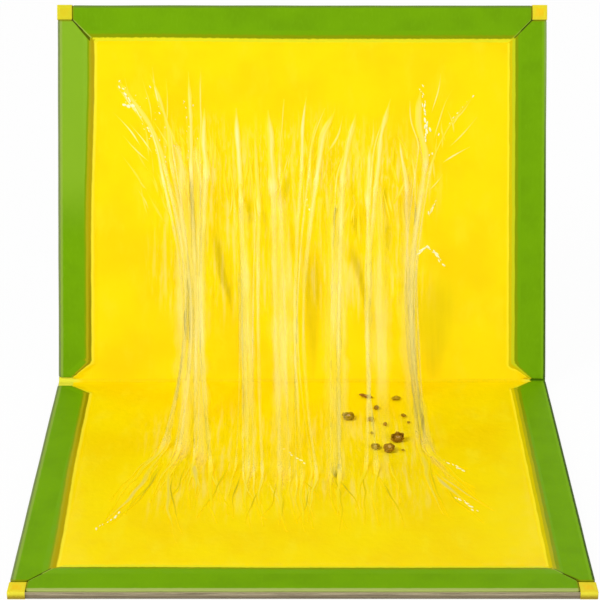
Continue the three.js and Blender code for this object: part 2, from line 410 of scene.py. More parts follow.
def roughen(piece, texture, strength, direction="NORMAL"):
    """Moves the points of a piece by a texture, by default along their normals."""
    modify(
        piece,
        "DISPLACE",
        texture=texture,
        texture_coords="LOCAL",
        direction=direction,
        strength=strength,
        mid_level=0.5,
    )


def round_folds(piece, width_mm, degrees):
    """Bevels every edge that is sharper than an angle."""
    sharp = math.radians(degrees)
    modify(piece, "BEVEL", width=width_mm * MM, segments=3, limit_method="ANGLE", angle_limit=sharp)


def recalculate(piece):
    """Points the faces of a closed piece outwards."""
    pick(piece, "polygons", lambda spot: True)
    bpy.ops.mesh.normals_make_consistent(inside=False)
    leave_edit()


def grid_sheet(name, leaf, low, high, cell):
    """A flat sheet of square cells over a stretch of a leaf, given in leaf numbers."""
    deselect()
    width = high[0] - low[0]
    length = high[1] - low[1]
    spot = flat_place(leaf, (low[0] + high[0]) / 2, (low[1] + high[1]) / 2, high[2])
    bpy.ops.mesh.primitive_grid_add(
        x_subdivisions=max(1, round(width / cell)),
        y_subdivisions=max(1, round(length / cell)),
        size=1,
        location=spot,
    )
    sheet = bpy.context.object
    rename(sheet, name)
    sheet.scale = (width * MM, length * MM, 1)
    bpy.ops.object.transform_apply(location=True, rotation=False, scale=True)
    return sheet


def trim(piece, leaf, start, end, lost):
    """Cuts the flat piece along the line from start to end and drops the side where the lost place is."""
    first = flat_place(leaf, *start, 0)
    along = flat_place(leaf, *end, 0) - first
    across = Vector((along.y, -along.x, 0)).normalized()
    if across.dot(flat_place(leaf, *lost, 0) - first) < 0:
        across.negate()
    pick(piece, "polygons", lambda spot: True)
    bpy.ops.mesh.bisect(plane_co=first, plane_no=across, clear_outer=True)
    leave_edit()


def settle(piece, leaf):
    """Stores each point's leaf numbers, then stands an upper leaf's piece up."""
    mesh = piece.data
    numbers = mesh.attributes.new("leaf", "FLOAT_VECTOR", "POINT")
    flat = [value for v in mesh.vertices for value in leaf_numbers(leaf, v.co)]
    numbers.data.foreach_set("vector", flat)
    if leaf == "upper":
        mesh.transform(RAISE)
    mesh.update()
    return piece


def smooth(piece, degrees=35):
    activate(piece)
    bpy.ops.object.shade_smooth_by_angle(angle=math.radians(degrees))


print("tools ready")

# %% [markdown]
# ## Shared finishes
# Paper shows fine fibres, and paper edges wear pale. Both are wanted in several materials, so each is a
# node group with its own inputs, which puts out plain values. Each material places them by its own numbers.

# %% Node groups


def shader_group(name, inputs, outputs):
    """An empty node group with float or vector inputs and float outputs."""
    group = bpy.data.node_groups.new(name, "ShaderNodeTree")
    for label, kind, default in inputs:
        socket = group.interface.new_socket(label, in_out="INPUT", socket_type=kind)
        if default is not None:
            socket.default_value = default
    for label in outputs:
        group.interface.new_socket(label, in_out="OUTPUT", socket_type="NodeSocketFloat")
    return group, group.nodes.new("NodeGroupInput"), group.nodes.new("NodeGroupOutput")


def fibre_group():
    """Paper fibre: short streaks in both directions for shade, and a finer height."""
    group, given, out = shader_group(
        "PaperFibre",
        [("Place", "NodeSocketVector", None), ("Scale", "NodeSocketFloat", 1.0)],
        ["Shade", "Height"],
    )
    spot, scale = given.outputs["Place"], given.outputs["Scale"]
    coarse = noise_value(group, stretch(group, spot, (1.0, 0.35, 1.0)), scale, 5.0, 0.65)
    fine = noise_value(group, spot, times(group, scale, 3.7), 3.0, 0.6)
    group.links.new(coarse, out.inputs["Shade"])
    group.links.new(times(group, plus(group, coarse, fine), 0.5), out.inputs["Height"])
    return group


def wear_group():
    """Edge wear: full at an edge and gone a given width in, with a ragged border."""
    group, given, out = shader_group(
        "EdgeWear",
        [
            ("Place", "NodeSocketVector", None),
            ("Distance", "NodeSocketFloat", 0.0),
            ("Width", "NodeSocketFloat", 1.0),
            ("Scale", "NodeSocketFloat", 1.0),
        ],
        ["Mask"],
    )
    ragged = noise_value(group, given.outputs["Place"], given.outputs["Scale"], 4.0, 0.7)
    swing = node(
        group,
        "ShaderNodeMapRange",
        {"Value": ragged, "From Min": 0.3, "From Max": 0.7, "To Min": 0.15, "To Max": 1.7},
    )
    reach = times(group, given.outputs["Width"], swing.outputs[0])
    near = ramp(group, given.outputs["Distance"], 0.0, reach, 1.0, 0.0)
    group.links.new(near, out.inputs["Mask"])
    return group


PAPER_FIBRE = fibre_group()
EDGE_WEAR = wear_group()
print("groups:", [group.name for group in bpy.data.node_groups])

# %% [markdown]
# ## Materials
# Each material is a Principled shader whose colour, roughness and bump change over the surface. A small
# maker sets up the shader, and short functions read the leaf numbers or mix two colours, so that each
# recipe stays clear.

# %% Material tools


def wire_paper(tree, shader, colour, fibre, smoothest, roughest, depth_mm):
    """Joins a paper's colour to the shader, with its roughness and bump taken from its fibre."""
    rough = ramp(tree, fibre.outputs["Shade"], 0.3, 0.7, smoothest, roughest)
    wire(tree, shader, colour, rough, bump(tree, fibre.outputs["Height"], depth_mm, 0.6))


def sheet_material(name, roughness, ior_level=0.5, coat=0.0, coat_roughness=0.1):
    """A material with a Principled shader whose constant values are set on its own sockets."""
    material = bpy.data.materials.new(name)
    material.use_nodes = True
    tree = material.node_tree
    tree.nodes.clear()
    shader = node(
        tree,
        "ShaderNodeBsdfPrincipled",
        {
            "Roughness": roughness,
            "Specular IOR Level": ior_level,
            "Coat Weight": coat,
            "Coat Roughness": coat_roughness,
        },
    )
    node(tree, "ShaderNodeOutputMaterial", {"Surface": shader.outputs[0]})
    return material, tree, shader


def grouped(tree, group, values):
    return node(tree, "ShaderNodeGroup", values, node_tree=group)


# %% [markdown]
# ## Colours
# All colours are linear, judged against the photograph. Each name says which surface wears it.

# %% Colours
GREEN = (0.17, 0.385, 0.001)
GREEN_SHADE = (0.15, 0.345, 0.001)
WORN_GREEN = (0.36, 0.44, 0.2)
YELLOW = (1.0, 0.775, 0.0)
YELLOW_DEEP = (0.97, 0.70, 0.0)
OLIVE = (0.22, 0.35, 0.0)
OLIVE_DARK = (0.25, 0.32, 0.0)
KHAKI = (0.43, 0.39, 0.005)
CREAM = (1.0, 0.90, 0.42)
GREY_BOARD = (0.50, 0.42, 0.27)
GREY_BOARD_DARK = (0.20, 0.16, 0.10)
GREEN_LIGHT = (0.215, 0.45, 0.01)
GREEN_SHEEN = (0.25, 0.46, 0.02)
PALE_YELLOW = (0.90, 0.83, 0.06)
TAPE_YELLOW = (0.83, 0.67, 0.02)
TAPE_ORANGE = (0.90, 0.60, 0.01)
TAPE_DULL = (0.66, 0.60, 0.02)
TAPE_SHADOW = (0.27, 0.16, 0.01)
LIME_HIGHLIGHT = (0.83, 0.80, 0.05)
CREASE_SHADE = (0.09, 0.22, 0.0)
YELLOW_GLINT = (1.0, 0.82, 0.02)
STREAK_SHADE = (0.72, 0.53, 0.0)
SHADOW_YELLOW = (0.58, 0.44, 0.0)
BAND_HIGHLIGHT = (1.0, 0.84, 0.03)
BAND_SHADOW = (0.46, 0.36, 0.0)
BAND_SHADOW_DEEP = (0.32, 0.27, 0.0)
BAND_YELLOW = (0.67, 0.55, 0.0)
BAND_LIT_PALE = (0.58, 0.62, 0.01)
BAND_LIT_LIME = (0.46, 0.43, 0.005)
FOLD_YELLOW = (0.87, 0.66, 0.002)
BAND_FAR_HIGHLIGHT = (0.84, 0.79, 0.015)
JOINT_SHADE = (0.085, 0.12, 0.0)
JOINT_LIP = (0.36, 0.50, 0.06)
PATCH_SHADOW = (0.25, 0.25, 0.0)
PAPER_EDGE = (0.52, 0.44, 0.24)
BOARD_FLECK = (0.66, 0.58, 0.42)
STRIP_GAP_SHADE = (0.05, 0.08, 0.0)
CRUST = (0.46, 0.24, 0.002)
CRUST_DARK = (0.27, 0.12, 0.001)
CRUST_RED = (0.38, 0.15, 0.008)
CRUST_OLIVE = (0.48, 0.34, 0.003)
CRUMB_LIGHT = (0.64, 0.37, 0.04)
CRUMB_PINK = (0.62, 0.40, 0.16)

# %% [markdown]
# ## Printed green of the strips
# The print is even, with faint fibre and mottling. Thin lines run along the outer edges, where the paper
# folds over the board: partly wear, and partly painted light on the left and painted shade on the right. A
# dark line of painted shade in the mitre gap, with a pale lip, shows where two strips meet at a corner.
# Beside the corner patches the strips carry a painted shadow, and the upper left strip a painted sheen.

# %% Green edge strips
# Widths in millimetres of the first and second line along an outer edge, partly wear and partly painted light
# and shade.
EDGE_LINES = (1.1, 2.2)
FAR_LINES = {"lower": 1.7, "upper": 1.2}
# On the left the lines are wear with a painted highlight on the rolled edge; on the right the dark line is
# painted shade where the edge turns away from the lamp.
LINE_GREY = (0.19, 0.25, 0.075)
LINE_PALE = (0.31, 0.44, 0.07)
LINE_SHADE = (0.05, 0.10, 0.008)
LINE_SOFT = (0.24, 0.38, 0.08)
LINE_MOSS = (0.15, 0.25, 0.03)
LINE_BEIGE = (0.40, 0.48, 0.12)
# The joint of two strips: the width of its painted shade in the mitre gap by the patch, how much wider that
# is inside, and how pale its lip is.
JOINTS = {"upper": ((0.4, 1.1, 0.8), (0.45, 0.0, 0.35)), "lower": ((0.3, 0.2, 0.6), (1.1, -0.9, 0.4))}


def on_side(tree, on_left, left, right):
    """A number that has one value on the left side of the board and another on the right."""
    return plus(tree, right, times(tree, on_left, left - right))


def band_mask(tree, value, low, high, soft=0.2):
    """1 between two values and 0 outside them."""
    above = minus(tree, value, low)
    below = minus(tree, high, value)
    return times(tree, ramp(tree, above, -soft / 2, soft / 2), ramp(tree, below, -soft / 2, soft / 2))


def mark_joint(tree, colour, leaf_name, axes, on_left, strength=1.0):
    """Adds the painted shade in the mitre gap of two strips at the corner and its pale lip, along the 45
    degree line.
    """
    side = minus(tree, HALF_WIDTH, unsigned(tree, axes[0]))
    front = minus(tree, DEPTH, axes[1])
    off_line = minus(tree, side, front)
    inward = ramp(tree, plus(tree, side, front), 2 * CORNER, 2 * (DEPTH - FAR_INNER))
    left, right = JOINTS[leaf_name]
    growth = times(tree, inward, on_side(tree, on_left, left[1], right[1]))
    reach = plus(tree, on_side(tree, on_left, left[0], right[0]), growth)
    lip = times(tree, band_mask(tree, off_line, 0.1, 0.85), on_side(tree, on_left, left[2], right[2]))
    colour = blend_colour(tree, times(tree, lip, strength), colour, JOINT_LIP)
    dark = band_mask(tree, off_line, times(tree, reach, -1.0), 0.15)
    return blend_colour(tree, times(tree, dark, strength), colour, JOINT_SHADE)


def strip_material(leaf_name):
    """Printed green paper with faint fibre and mottling, edge lines of wear with painted light and shade, and
    painted shadow and sheen.
    """
    material, tree, shader = sheet_material(f"{leaf_name}_green_strip", 0.5, ior_level=0.04)
    leaf = attribute(tree, "leaf")
    fibre = grouped(tree, PAPER_FIBRE, {"Place": leaf, "Scale": 0.9})
    mottle = noise_value(tree, leaf, 0.06, 3.0)
    colour = blend_colour(tree, ramp(tree, mottle, 0.35, 0.7), GREEN, GREEN_SHADE)
    sheen = times(tree, ramp(tree, fibre.outputs["Shade"], 0.45, 0.8), 0.35)
    colour = blend_colour(tree, sheen, colour, GREEN_LIGHT)
    axes = separate(tree, leaf)
    on_left = ramp(tree, axes[0], 5, -5)
    if leaf_name == "upper":
        # Painted sheen on the upper left strip, over its far part.
        by_edge = ramp(tree, axes[0], -STRIP_INNER + 6, -STRIP_INNER - 2)
        front = minus(tree, DEPTH, axes[1])
        side = minus(tree, HALF_WIDTH, unsigned(tree, axes[0]))
        below_joint = ramp(tree, minus(tree, front, side), 0.0, 0.2)
        upper_sheen = times(tree, by_edge, ramp(tree, axes[1], 60, 95))
        upper_sheen = times(tree, upper_sheen, below_joint)
        colour = blend_colour(tree, times(tree, upper_sheen, 0.9), colour, GREEN_SHEEN)
    wobble = times(tree, noise_value(tree, leaf, 0.3, 4.0), 0.5)
    across = minus(tree, HALF_WIDTH + 0.2, unsigned(tree, axes[0]))
    across = minus(tree, across, wobble)
    first_line, second_line = EDGE_LINES
    # Painted shade along the right edge, softer towards the upper leaf's far end, and wear with a painted
    # highlight on the left.
    right_shade_line = LINE_SHADE
    if leaf_name == "upper":
        right_shade_line = blend_colour(tree, ramp(tree, axes[1], 70, 150), LINE_SHADE, LINE_SOFT)
    second = blend_colour(tree, on_left, GREEN_LIGHT, LINE_PALE)
    first = blend_colour(tree, on_left, right_shade_line, LINE_GREY)
    colour = blend_colour(tree, ramp(tree, across, second_line, second_line - 0.6, 0.0, 0.7), colour, second)
    colour = blend_colour(tree, ramp(tree, across, first_line, first_line - 0.4), colour, first)
    outward = minus(tree, DEPTH + 0.2, axes[1])
    outward = minus(tree, outward, wobble)
    far_line = LINE_BEIGE if leaf_name == "lower" else LINE_MOSS
    far_width = FAR_LINES[leaf_name]
    colour = blend_colour(tree, ramp(tree, outward, far_width, far_width - 0.5), colour, far_line)
    colour = mark_joint(tree, colour, leaf_name, axes, on_left)
    # Painted shadow of the corner patch on the strip beside it.
    beside_patch = minus(tree, patch_low[0], unsigned(tree, axes[0]))
    by_patch = larger(tree, beside_patch, minus(tree, patch_low[1], axes[1]))
    colour = blend_colour(tree, ramp(tree, by_patch, 1.2, 0.4, 0.0, 0.75), colour, PATCH_SHADOW)
    wear = grouped(tree, EDGE_WEAR, {"Place": leaf, "Distance": across, "Width": 0.75, "Scale": 0.45})
    colour = blend_colour(tree, times(tree, wear.outputs["Mask"], 0.2), colour, WORN_GREEN)
    wire_paper(tree, shader, colour, fibre, 0.45, 0.62, 0.06)
    return material


STRIP_GREEN = {leaf: strip_material(leaf) for leaf in LEAVES}
print("materials:", [material.name for material in STRIP_GREEN.values()])

# %% [markdown]
# ## The green edge strips
# Each strip is a length of thick green-faced paper, mitred at the board's corner and chamfered at the
# fold. It could be cut from the frame's own solid, but that has knife edges. Here a fine grid is trimmed
# along the same lines, its corners are rounded, it gets its thickness and a rolled edge, and it is made
# very slightly wavy.

# %% Model the strips
STRIP_CELL = 2.4
STRIP_ROLL = 0.34
CORNER_ROUND = 0.9
STRIP_FLAT_END = 5.8
CHAMFER_ACROSS = 8.2
CHAMFER_ALONG = 6.8
WAVE_SIZE = 28
WAVE_DEPTH = 0.22
AT_CORNER = 0.3

slow_wave = bpy.data.textures.new("slow_wave", "CLOUDS")
slow_wave.noise_scale = WAVE_SIZE * MM
slow_wave.noise_depth = 1


def wavy(piece, direction, depth_mm):
    """Moves a piece a little along one axis by a slow noise."""
    roughen(piece, slow_wave, depth_mm * MM, direction)


def near(leaf, x, distance, reach):
    """A test for points within a reach of a place on a leaf, seen from above."""
    spot = flat_place(leaf, x, distance, 0)

    def test(co):
        return math.hypot(co.x - spot.x, co.y - spot.y) < reach * MM

    return test


def finish_strip(strip, leaf, corners):
    """Rounds the listed corners, then gives the sheet its thickness, rolled edge and waviness."""
    for x, distance in corners:
        if pick(strip, "vertices", near(leaf, x, distance, AT_CORNER)):
            bpy.ops.mesh.bevel(offset=CORNER_ROUND * MM, segments=3, affect="VERTICES")
        leave_edit()
    modify(strip, "SOLIDIFY", thickness=STRIP_THICK * MM, offset=-1)
    round_folds(strip, STRIP_ROLL, 50)
    wavy(strip, "X", WAVE_DEPTH)
    wavy(strip, "Y", WAVE_DEPTH)
    smooth(strip)
    settle(strip, leaf)
    paint(strip, STRIP_GREEN[leaf])


def side_strip(leaf, hand_name, hand):
    """A strip along a side edge. hand is -1 on the left and 1 on the right."""
    node_name = f"{leaf}_{hand_name}_edge_strip"
    low, high = leaf_box(node_name)
    strip = grid_sheet(f"{leaf}_{hand_name}_strip", leaf, low, high, STRIP_CELL)
    outer, inner = hand * HALF_WIDTH, hand * STRIP_INNER
    end = low[1]
    mitre = (hand * (HALF_WIDTH - CORNER), high[1])
    mitre_in = (inner, high[1] - (HALF_WIDTH - CORNER - STRIP_INNER))
    chamfer = (outer - hand * STRIP_FLAT_END, end)
    chamfer_in = (inner, end + CHAMFER_ALONG)
    trim(strip, leaf, mitre, mitre_in, (inner, high[1]))
    trim(strip, leaf, chamfer, chamfer_in, (inner, end))
    finish_strip(strip, leaf, [mitre_in, mitre, chamfer_in, chamfer, (outer, end), (outer, high[1])])
    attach(strip, f"{leaf}_leaf")
    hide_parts(node_name)
    return strip


def outer_strip(leaf):
    """The strip along the outer edge, mitred at both ends."""
    node_name = f"{leaf}_outer_edge_strip"
    low, high = leaf_box(node_name)
    strip = grid_sheet(f"{leaf}_outer_strip", leaf, low, high, STRIP_CELL)
    corners = []
    for hand in HANDS.values():
        mitre = (hand * high[0], DEPTH - CORNER)
        mitre_in = (hand * (high[0] - (DEPTH - CORNER - FAR_INNER)), FAR_INNER)
        trim(strip, leaf, mitre, mitre_in, (hand * high[0], FAR_INNER))
        corners += [mitre, mitre_in, (hand * high[0], DEPTH)]
    finish_strip(strip, leaf, corners)
    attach(strip, f"{leaf}_leaf")
    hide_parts(node_name)
    return strip


strips = []
for leaf in LEAVES:
    strips.append(outer_strip(leaf))
    for hand_name, hand in HANDS.items():
        strips.append(side_strip(leaf, hand_name, hand))
print("strips:", {strip.name: len(strip.data.polygons) for strip in strips})

# %% [markdown]
# ## Board, liner and cover
# Under the strips each leaf is greyboard between two printed papers. These flat layers are right as they
# are in the frame, so its own solids stay and get a live weld and a small bevel, because a cut board edge
# is never sharp. Their patterns use Object coordinates, laid back into the leaf by a rotation, so the
# layers of the raw edge run with the board on both leaves.

# %% Patterns on the frame's solids


def leaf_place(tree, leaf):
    """Object coordinates turned into the leaf numbers: x, distance and height in millimetres."""
    from_fold = node(
        tree,
        "ShaderNodeVectorMath",
        {0: node(tree, "ShaderNodeTexCoord").outputs["Object"], 1: tuple(FOLD)},
        operation="SUBTRACT",
    )
    laid = from_fold.outputs[0]
    if leaf == "upper":
        laid = node(tree, "ShaderNodeMapping", {"Vector": laid, "Rotation": (-TILT, 0, 0)}).outputs[0]
    return stretch(tree, laid, (1 / MM, LEAVES[leaf] / MM, 1 / MM))


def raw_board_material(leaf):
    """Greyboard: pressed layers along the cut edge, with darker furry streaks and flecks, and painted shade
    towards its underside.
    """
    material, tree, shader = sheet_material(f"{leaf}_raw_board", 0.9, ior_level=0.15)
    spot = leaf_place(tree, leaf)
    layers = streaky(tree, spot, (0.05, 0.05, 2.6), 5.0, 0.7)
    flecks = streaky(tree, spot, (0.8, 0.8, 2.2), 4.0, 0.65)
    colour = blend_colour(tree, ramp(tree, layers, 0.42, 0.66), GREY_BOARD, GREY_BOARD_DARK)
    colour = blend_colour(tree, ramp(tree, flecks, 0.56, 0.72, 0.0, 0.5), colour, BOARD_FLECK)
    height = separate(tree, spot)[2]
    # Painted shade: the edge darkens towards the bottom of the board.
    colour = blend_colour(tree, ramp(tree, height, -1.6, -2.8, 0.0, 0.75), colour, GREY_BOARD_DARK)
    rough = ramp(tree, flecks, 0.3, 0.7, 0.8, 1.0)
    wire(tree, shader, colour, rough, bump(tree, plus(tree, layers, flecks), 0.25, 0.8))
    return material


def liner_material(leaf):
    """Yellow lining paper: even print, faint fibre, paler where the fold has worked it, with painted shade in
    the gaps past the strips and a painted highlight by the strips' ends.
    """
    material, tree, shader = sheet_material(f"{leaf}_yellow_liner", 0.5, ior_level=0.2)
    spot = leaf_place(tree, leaf)
    fibre = grouped(tree, PAPER_FIBRE, {"Place": spot, "Scale": 1.1})
    colour = blend_colour(tree, ramp(tree, fibre.outputs["Shade"], 0.35, 0.7), YELLOW, YELLOW_DEEP)
    axes = separate(tree, spot)
    from_fold = axes[1]
    aside = unsigned(tree, axes[0])
    wear = grouped(tree, EDGE_WEAR, {"Place": spot, "Distance": from_fold, "Width": 4.5, "Scale": 0.3})
    colour = blend_colour(tree, times(tree, wear.outputs["Mask"], 0.5), colour, PALE_YELLOW)
    # Painted shade in the gap where the liner shows past the strips' inner edges.
    past_strip = larger(tree, minus(tree, aside, STRIP_INNER), minus(tree, from_fold, FAR_INNER))
    in_strip_gap = times(tree, ramp(tree, past_strip, 0.2, 0.6), ramp(tree, from_fold, 14, 18))
    colour = blend_colour(tree, in_strip_gap, colour, STRIP_GAP_SHADE)
    # Painted highlight on the liner's edge by the strips' ends at the fold.
    end_highlight = times(tree, ramp(tree, aside, STRIP_INNER, STRIP_INNER + 6), ramp(tree, from_fold, 9, 6))
    colour = blend_colour(tree, end_highlight, colour, LIME_HIGHLIGHT)
    border = smaller(tree, minus(tree, HALF_WIDTH, aside), minus(tree, DEPTH, from_fold))
    colour = blend_colour(tree, ramp(tree, border, 0.25, 0.1), colour, PAPER_EDGE)
    wire_paper(tree, shader, colour, fibre, 0.42, 0.6, 0.05)
    return material


def cover_material(leaf):
    """Green cover paper: fibre, slow mottling, scuffed edges and crease lines by the spine."""
    material, tree, shader = sheet_material(f"{leaf}_cover_paper", 0.45, ior_level=0.35)
    spot = leaf_place(tree, leaf)
    fibre = grouped(tree, PAPER_FIBRE, {"Place": spot, "Scale": 0.8})
    mottle = noise_value(tree, spot, 0.035, 4.0, 0.6)
    colour = blend_colour(tree, ramp(tree, mottle, 0.35, 0.7), GREEN, GREEN_SHADE)
    colour = blend_colour(tree, ramp(tree, fibre.outputs["Shade"], 0.5, 0.8, 0.0, 0.3), colour, GREEN_LIGHT)
    axes = separate(tree, spot)
    side = minus(tree, HALF_WIDTH, unsigned(tree, axes[0]))
    border = smaller(tree, side, minus(tree, DEPTH, axes[1]))
    all_round = smaller(tree, border, axes[1])
    wear = grouped(tree, EDGE_WEAR, {"Place": spot, "Distance": all_round, "Width": 1.3, "Scale": 0.25})
    colour = blend_colour(tree, times(tree, wear.outputs["Mask"], 0.7), colour, WORN_GREEN)
    colour = blend_colour(tree, ramp(tree, border, 0.12, 0.04), colour, GREY_BOARD_DARK)
    scratches = streaky(tree, spot, (0.02, 1.3, 1.0), 2.0, 0.6)
    colour = blend_colour(tree, ramp(tree, scratches, 0.68, 0.78, 0.0, 0.25), colour, WORN_GREEN)
    rough = ramp(tree, fibre.outputs["Shade"], 0.3, 0.7, 0.38, 0.58)
    dents = plus(tree, fibre.outputs["Height"], times(tree, mottle, 2.0))
    wire(tree, shader, colour, rough, bump(tree, dents, 0.08, 0.6))
    return material


# %% Finish the flat layers
# Width of each layer's bevel in millimetres, and the least distance at which two points are one.
LAYER_BEVELS = {"greyboard": 0.12, "liner": 0.04, "outer_cover": 0.08}
WELD_GAP = 0.001
LAYER_MATERIALS = {"greyboard": raw_board_material, "liner": liner_material, "outer_cover": cover_material}

for leaf in LEAVES:
    for layer, bevel_width in LAYER_BEVELS.items():
        solid = frame["nodes"][f"{leaf}_{layer}"]
        weld = solid.modifiers.new("weld", "WELD")
        weld.merge_threshold = WELD_GAP * MM
        rounding = solid.modifiers.new("bevel", "BEVEL")
        rounding.width = bevel_width * MM
        rounding.segments = 2
        rounding.limit_method = "ANGLE"
        rounding.angle_limit = math.radians(40)
        paint(solid, LAYER_MATERIALS[layer](leaf))
print("layers finished:", list(LAYER_BEVELS))

# %% [markdown]
# ## Glue pads
# The glue is a clear layer over the yellow paper. It lies thin and a little rippled in the middle, climbs
# the inner edges of the strips in a sloping band, and thins out to nothing near the fold. A grid is
# widened row by row towards the fold, where the strips are cut back, and thickened. Then every point gets
# its height from its distance to the nearest strip. That distance is stored too, because the band is olive
# where glue lies on green.
# The band also carries painted light and shade from the lamp on the left: a painted highlight and a painted
# shadow at its foot on the left, a painted glint and a lit band on the right, and a painted highlight line at
# the far edge and the lower chamfers.

# %% Outline and heights of the glue
PAD_CELL = 1.15
PAD_START = 0.6
GLUE_ON_STRIP = 3.2
BAND_WIDTH = 1.7
BAND_TOP = 0.06
TOP_FALL = 0.045
GLUE_LEVEL = -0.5
GLUE_BOTTOM = -0.86
GLUE_THINNEST = 0.02
FOLD_FEATHER = 9.0
PAD_FOLD_HALF = 101.0
PAD_CHAMFER_HALF = 104.0
RIPPLE_SIZES = {13.0: 0.06, 4.5: 0.035}
# The glue on the strips rises slowly from the fold, so that the two pads keep apart when the board is shut.
BAND_RISE = 0.03
# A shallow trough inside the band: its depth, and where it starts, is deepest and ends.
TROUGH_DEPTH = 0.1
TROUGH = (1.2, 2.2, 4.5)
# The web of drawn glue: its middle line, and between which places it fades at its sides, near and far.
WEB_MIDDLE = -4
WEB_SIDES = (48, 66)
WEB_NEAR = (20, 40)
WEB_FAR = (88, 122)
WEB_SWAY = 9
LOWER_WEB = 0.6
RIDGE_HEIGHT = 0.1
RIDGE_WIDTH = 2.6
RIDGE_LENGTH = 26
RIDGE_LEAN = 3


def step(value, low, high):
    """Smooth step from 0 at low to 1 at high."""
    share = min(1, max(0, (value - low) / (high - low)))
    return share * share * (3 - 2 * share)


def drift(x, y, z):
    """Slow noise, between about -1 and 1."""
    return noise.noise(Vector((x, y, z)))


def strip_ends(leaf):
    """Distance from the fold at which the left and the right strip of a leaf end."""
    return {hand: leaf_box(f"{leaf}_{name}_edge_strip")[0][1] for name, hand in HANDS.items()}


CHAMFER_LENGTH = math.hypot(CHAMFER_ACROSS, CHAMFER_ALONG)


def open_distance(x, distance, end):
    """How far a place is from the nearest strip's border, negative on the strip."""
    side = abs(x) - STRIP_INNER
    past_chamfer = (side * CHAMFER_ALONG + (distance - end - CHAMFER_ALONG) * CHAMFER_ACROSS) / CHAMFER_LENGTH
    return -max(min(side, past_chamfer), distance - FAR_INNER)


def pad_half_width(distance, end):
    """Half the pad's width: over the strip's edge, and wider where the strip is cut back."""
    cut_back = end + CHAMFER_ALONG + GLUE_ON_STRIP * CHAMFER_LENGTH / CHAMFER_ACROSS - distance
    widened = STRIP_INNER + cut_back * CHAMFER_ACROSS / CHAMFER_ALONG
    widest = PAD_FOLD_HALF + (PAD_CHAMFER_HALF - PAD_FOLD_HALF) * step(distance, end + 0.3, end + 1.6)
    return min(widest, max(STRIP_INNER + GLUE_ON_STRIP, widened))


def web_share(leaf, x, distance):
    """How strongly drawn-out glue marks a place: full in the middle of the leaf and gone at its borders."""
    sway = WEB_SWAY * drift(x * 0.05, distance * 0.03, LEAVES[leaf])
    across = 1 - step(abs(x - WEB_MIDDLE) + sway, *WEB_SIDES)
    along = step(distance + sway, *WEB_NEAR) * (1 - step(distance + sway, *WEB_FAR))
    return across * along * (1.0 if leaf == "upper" else LOWER_WEB)


def ripple(x, distance, seed):
    return sum(depth * drift(x / size, distance / size, seed) for size, depth in RIPPLE_SIZES.items())


# Painted shadow of the strings between the bundles on the upper pad: x and distance, half width and length,
# strength, and how far each patch leans sideways for each millimetre towards the fold.
SHADOW_PATCHES = (
    (-35, 48, 2.4, 21, 0.75, 0.24),
    (-23, 74, 1.5, 8, 0.5, 0.1),
    (-7, 83, 1.6, 8, 0.5, 0.0),
    (-16, 70, 1.5, 6, 0.4, 0.0),
    (4, 30, 4.5, 34, 0.45, 0.0),
    (23, 68, 1.5, 6, 0.5, 0.2),
    (18, 59, 1.5, 6, 0.5, 0.2),
    (25, 46, 2.0, 15, 0.8, 0.24),
    (36, 80, 1.3, 6, 0.5, 0.1),
    (38, 63, 1.5, 8, 0.5, 0.1),
    (58, 22, 9.0, 26, 0.4, 0.0),
    (-14, 100, 1.0, 7, 0.4, 0.2),
    (46, 70, 1.4, 9, 0.35, 0.0),
)
SHADOW_TAPER = 0.6
SHADOW_SWAY = 1.5
SHADOW_BORDER = (0.35, 1.15)


def shade_spot(leaf, x, distance):
    """How dark the painted shadow makes a place of the upper pad: each patch is a blade that narrows towards
    the fold.
    """
    if leaf == "lower":
        return 0.0
    swayed = x + SHADOW_SWAY * drift(x * 0.1, distance * 0.06, 8)
    total = 0.0
    for spot_x, spot_distance, half, length, strength, lean in SHADOW_PATCHES:
        past = distance - spot_distance
        along = past / length
        aside = swayed - spot_x + lean * past
        away = math.hypot(aside / (half * (1 + SHADOW_TAPER * max(-1, min(1, along)))), along)
        total += strength * (1 - step(away, *SHADOW_BORDER))
    return min(1, total)


def drawn_ridge(x, distance, seed):
    """Long narrow ridges along the leaf, as pulled glue leaves them."""
    lean = x + RIDGE_LEAN * drift(x * 0.04, distance * 0.02, seed + 3)
    return RIDGE_HEIGHT * max(0, drift(lean / RIDGE_WIDTH, distance / RIDGE_LENGTH, seed))


def glue_height(leaf, x, distance, end):
    """Height of the glue's surface over the strips' plane."""
    seed = LEAVES[leaf] * 5.0
    clear = open_distance(x, distance, end)
    level = GLUE_LEVEL + ripple(x, distance, seed)
    level += web_share(leaf, x, distance) * drawn_ridge(x, distance, seed)
    inner, deepest, outer = TROUGH
    level -= TROUGH_DEPTH * step(clear, inner, deepest) * (1 - step(clear, deepest, outer))
    feather = step(distance, PAD_START, PAD_START + FOLD_FEATHER)
    level = GLUE_BOTTOM + GLUE_THINNEST + (level - GLUE_BOTTOM - GLUE_THINNEST) * feather
    climb = 1 - step(clear, 0.3, BAND_WIDTH + 0.3)
    top = min(BAND_TOP, BAND_RISE * distance) - TOP_FALL * step(-clear, 0.2, GLUE_ON_STRIP)
    return level + (top - level) * climb


# How far the border band lies from where the strips' edge would put it: near the fold and at the far
# corners.
LEFT_SHIFTS = {"lower": (0.1, 1.3), "upper": (-0.2, 1.4)}
RIGHT_SHIFTS = {"lower": -0.4, "upper": 0.0}
FAR_SHIFTS = {"lower": (2.2, 1.4), "upper": (0.0, 0.6)}
# Between which places the far shift goes over from its left to its right value, and the left one along the
# side.
FAR_TURN = (-70, 0)
LEFT_TURN = (65, 140)
CHAMFER_SQUEEZE = 2.2


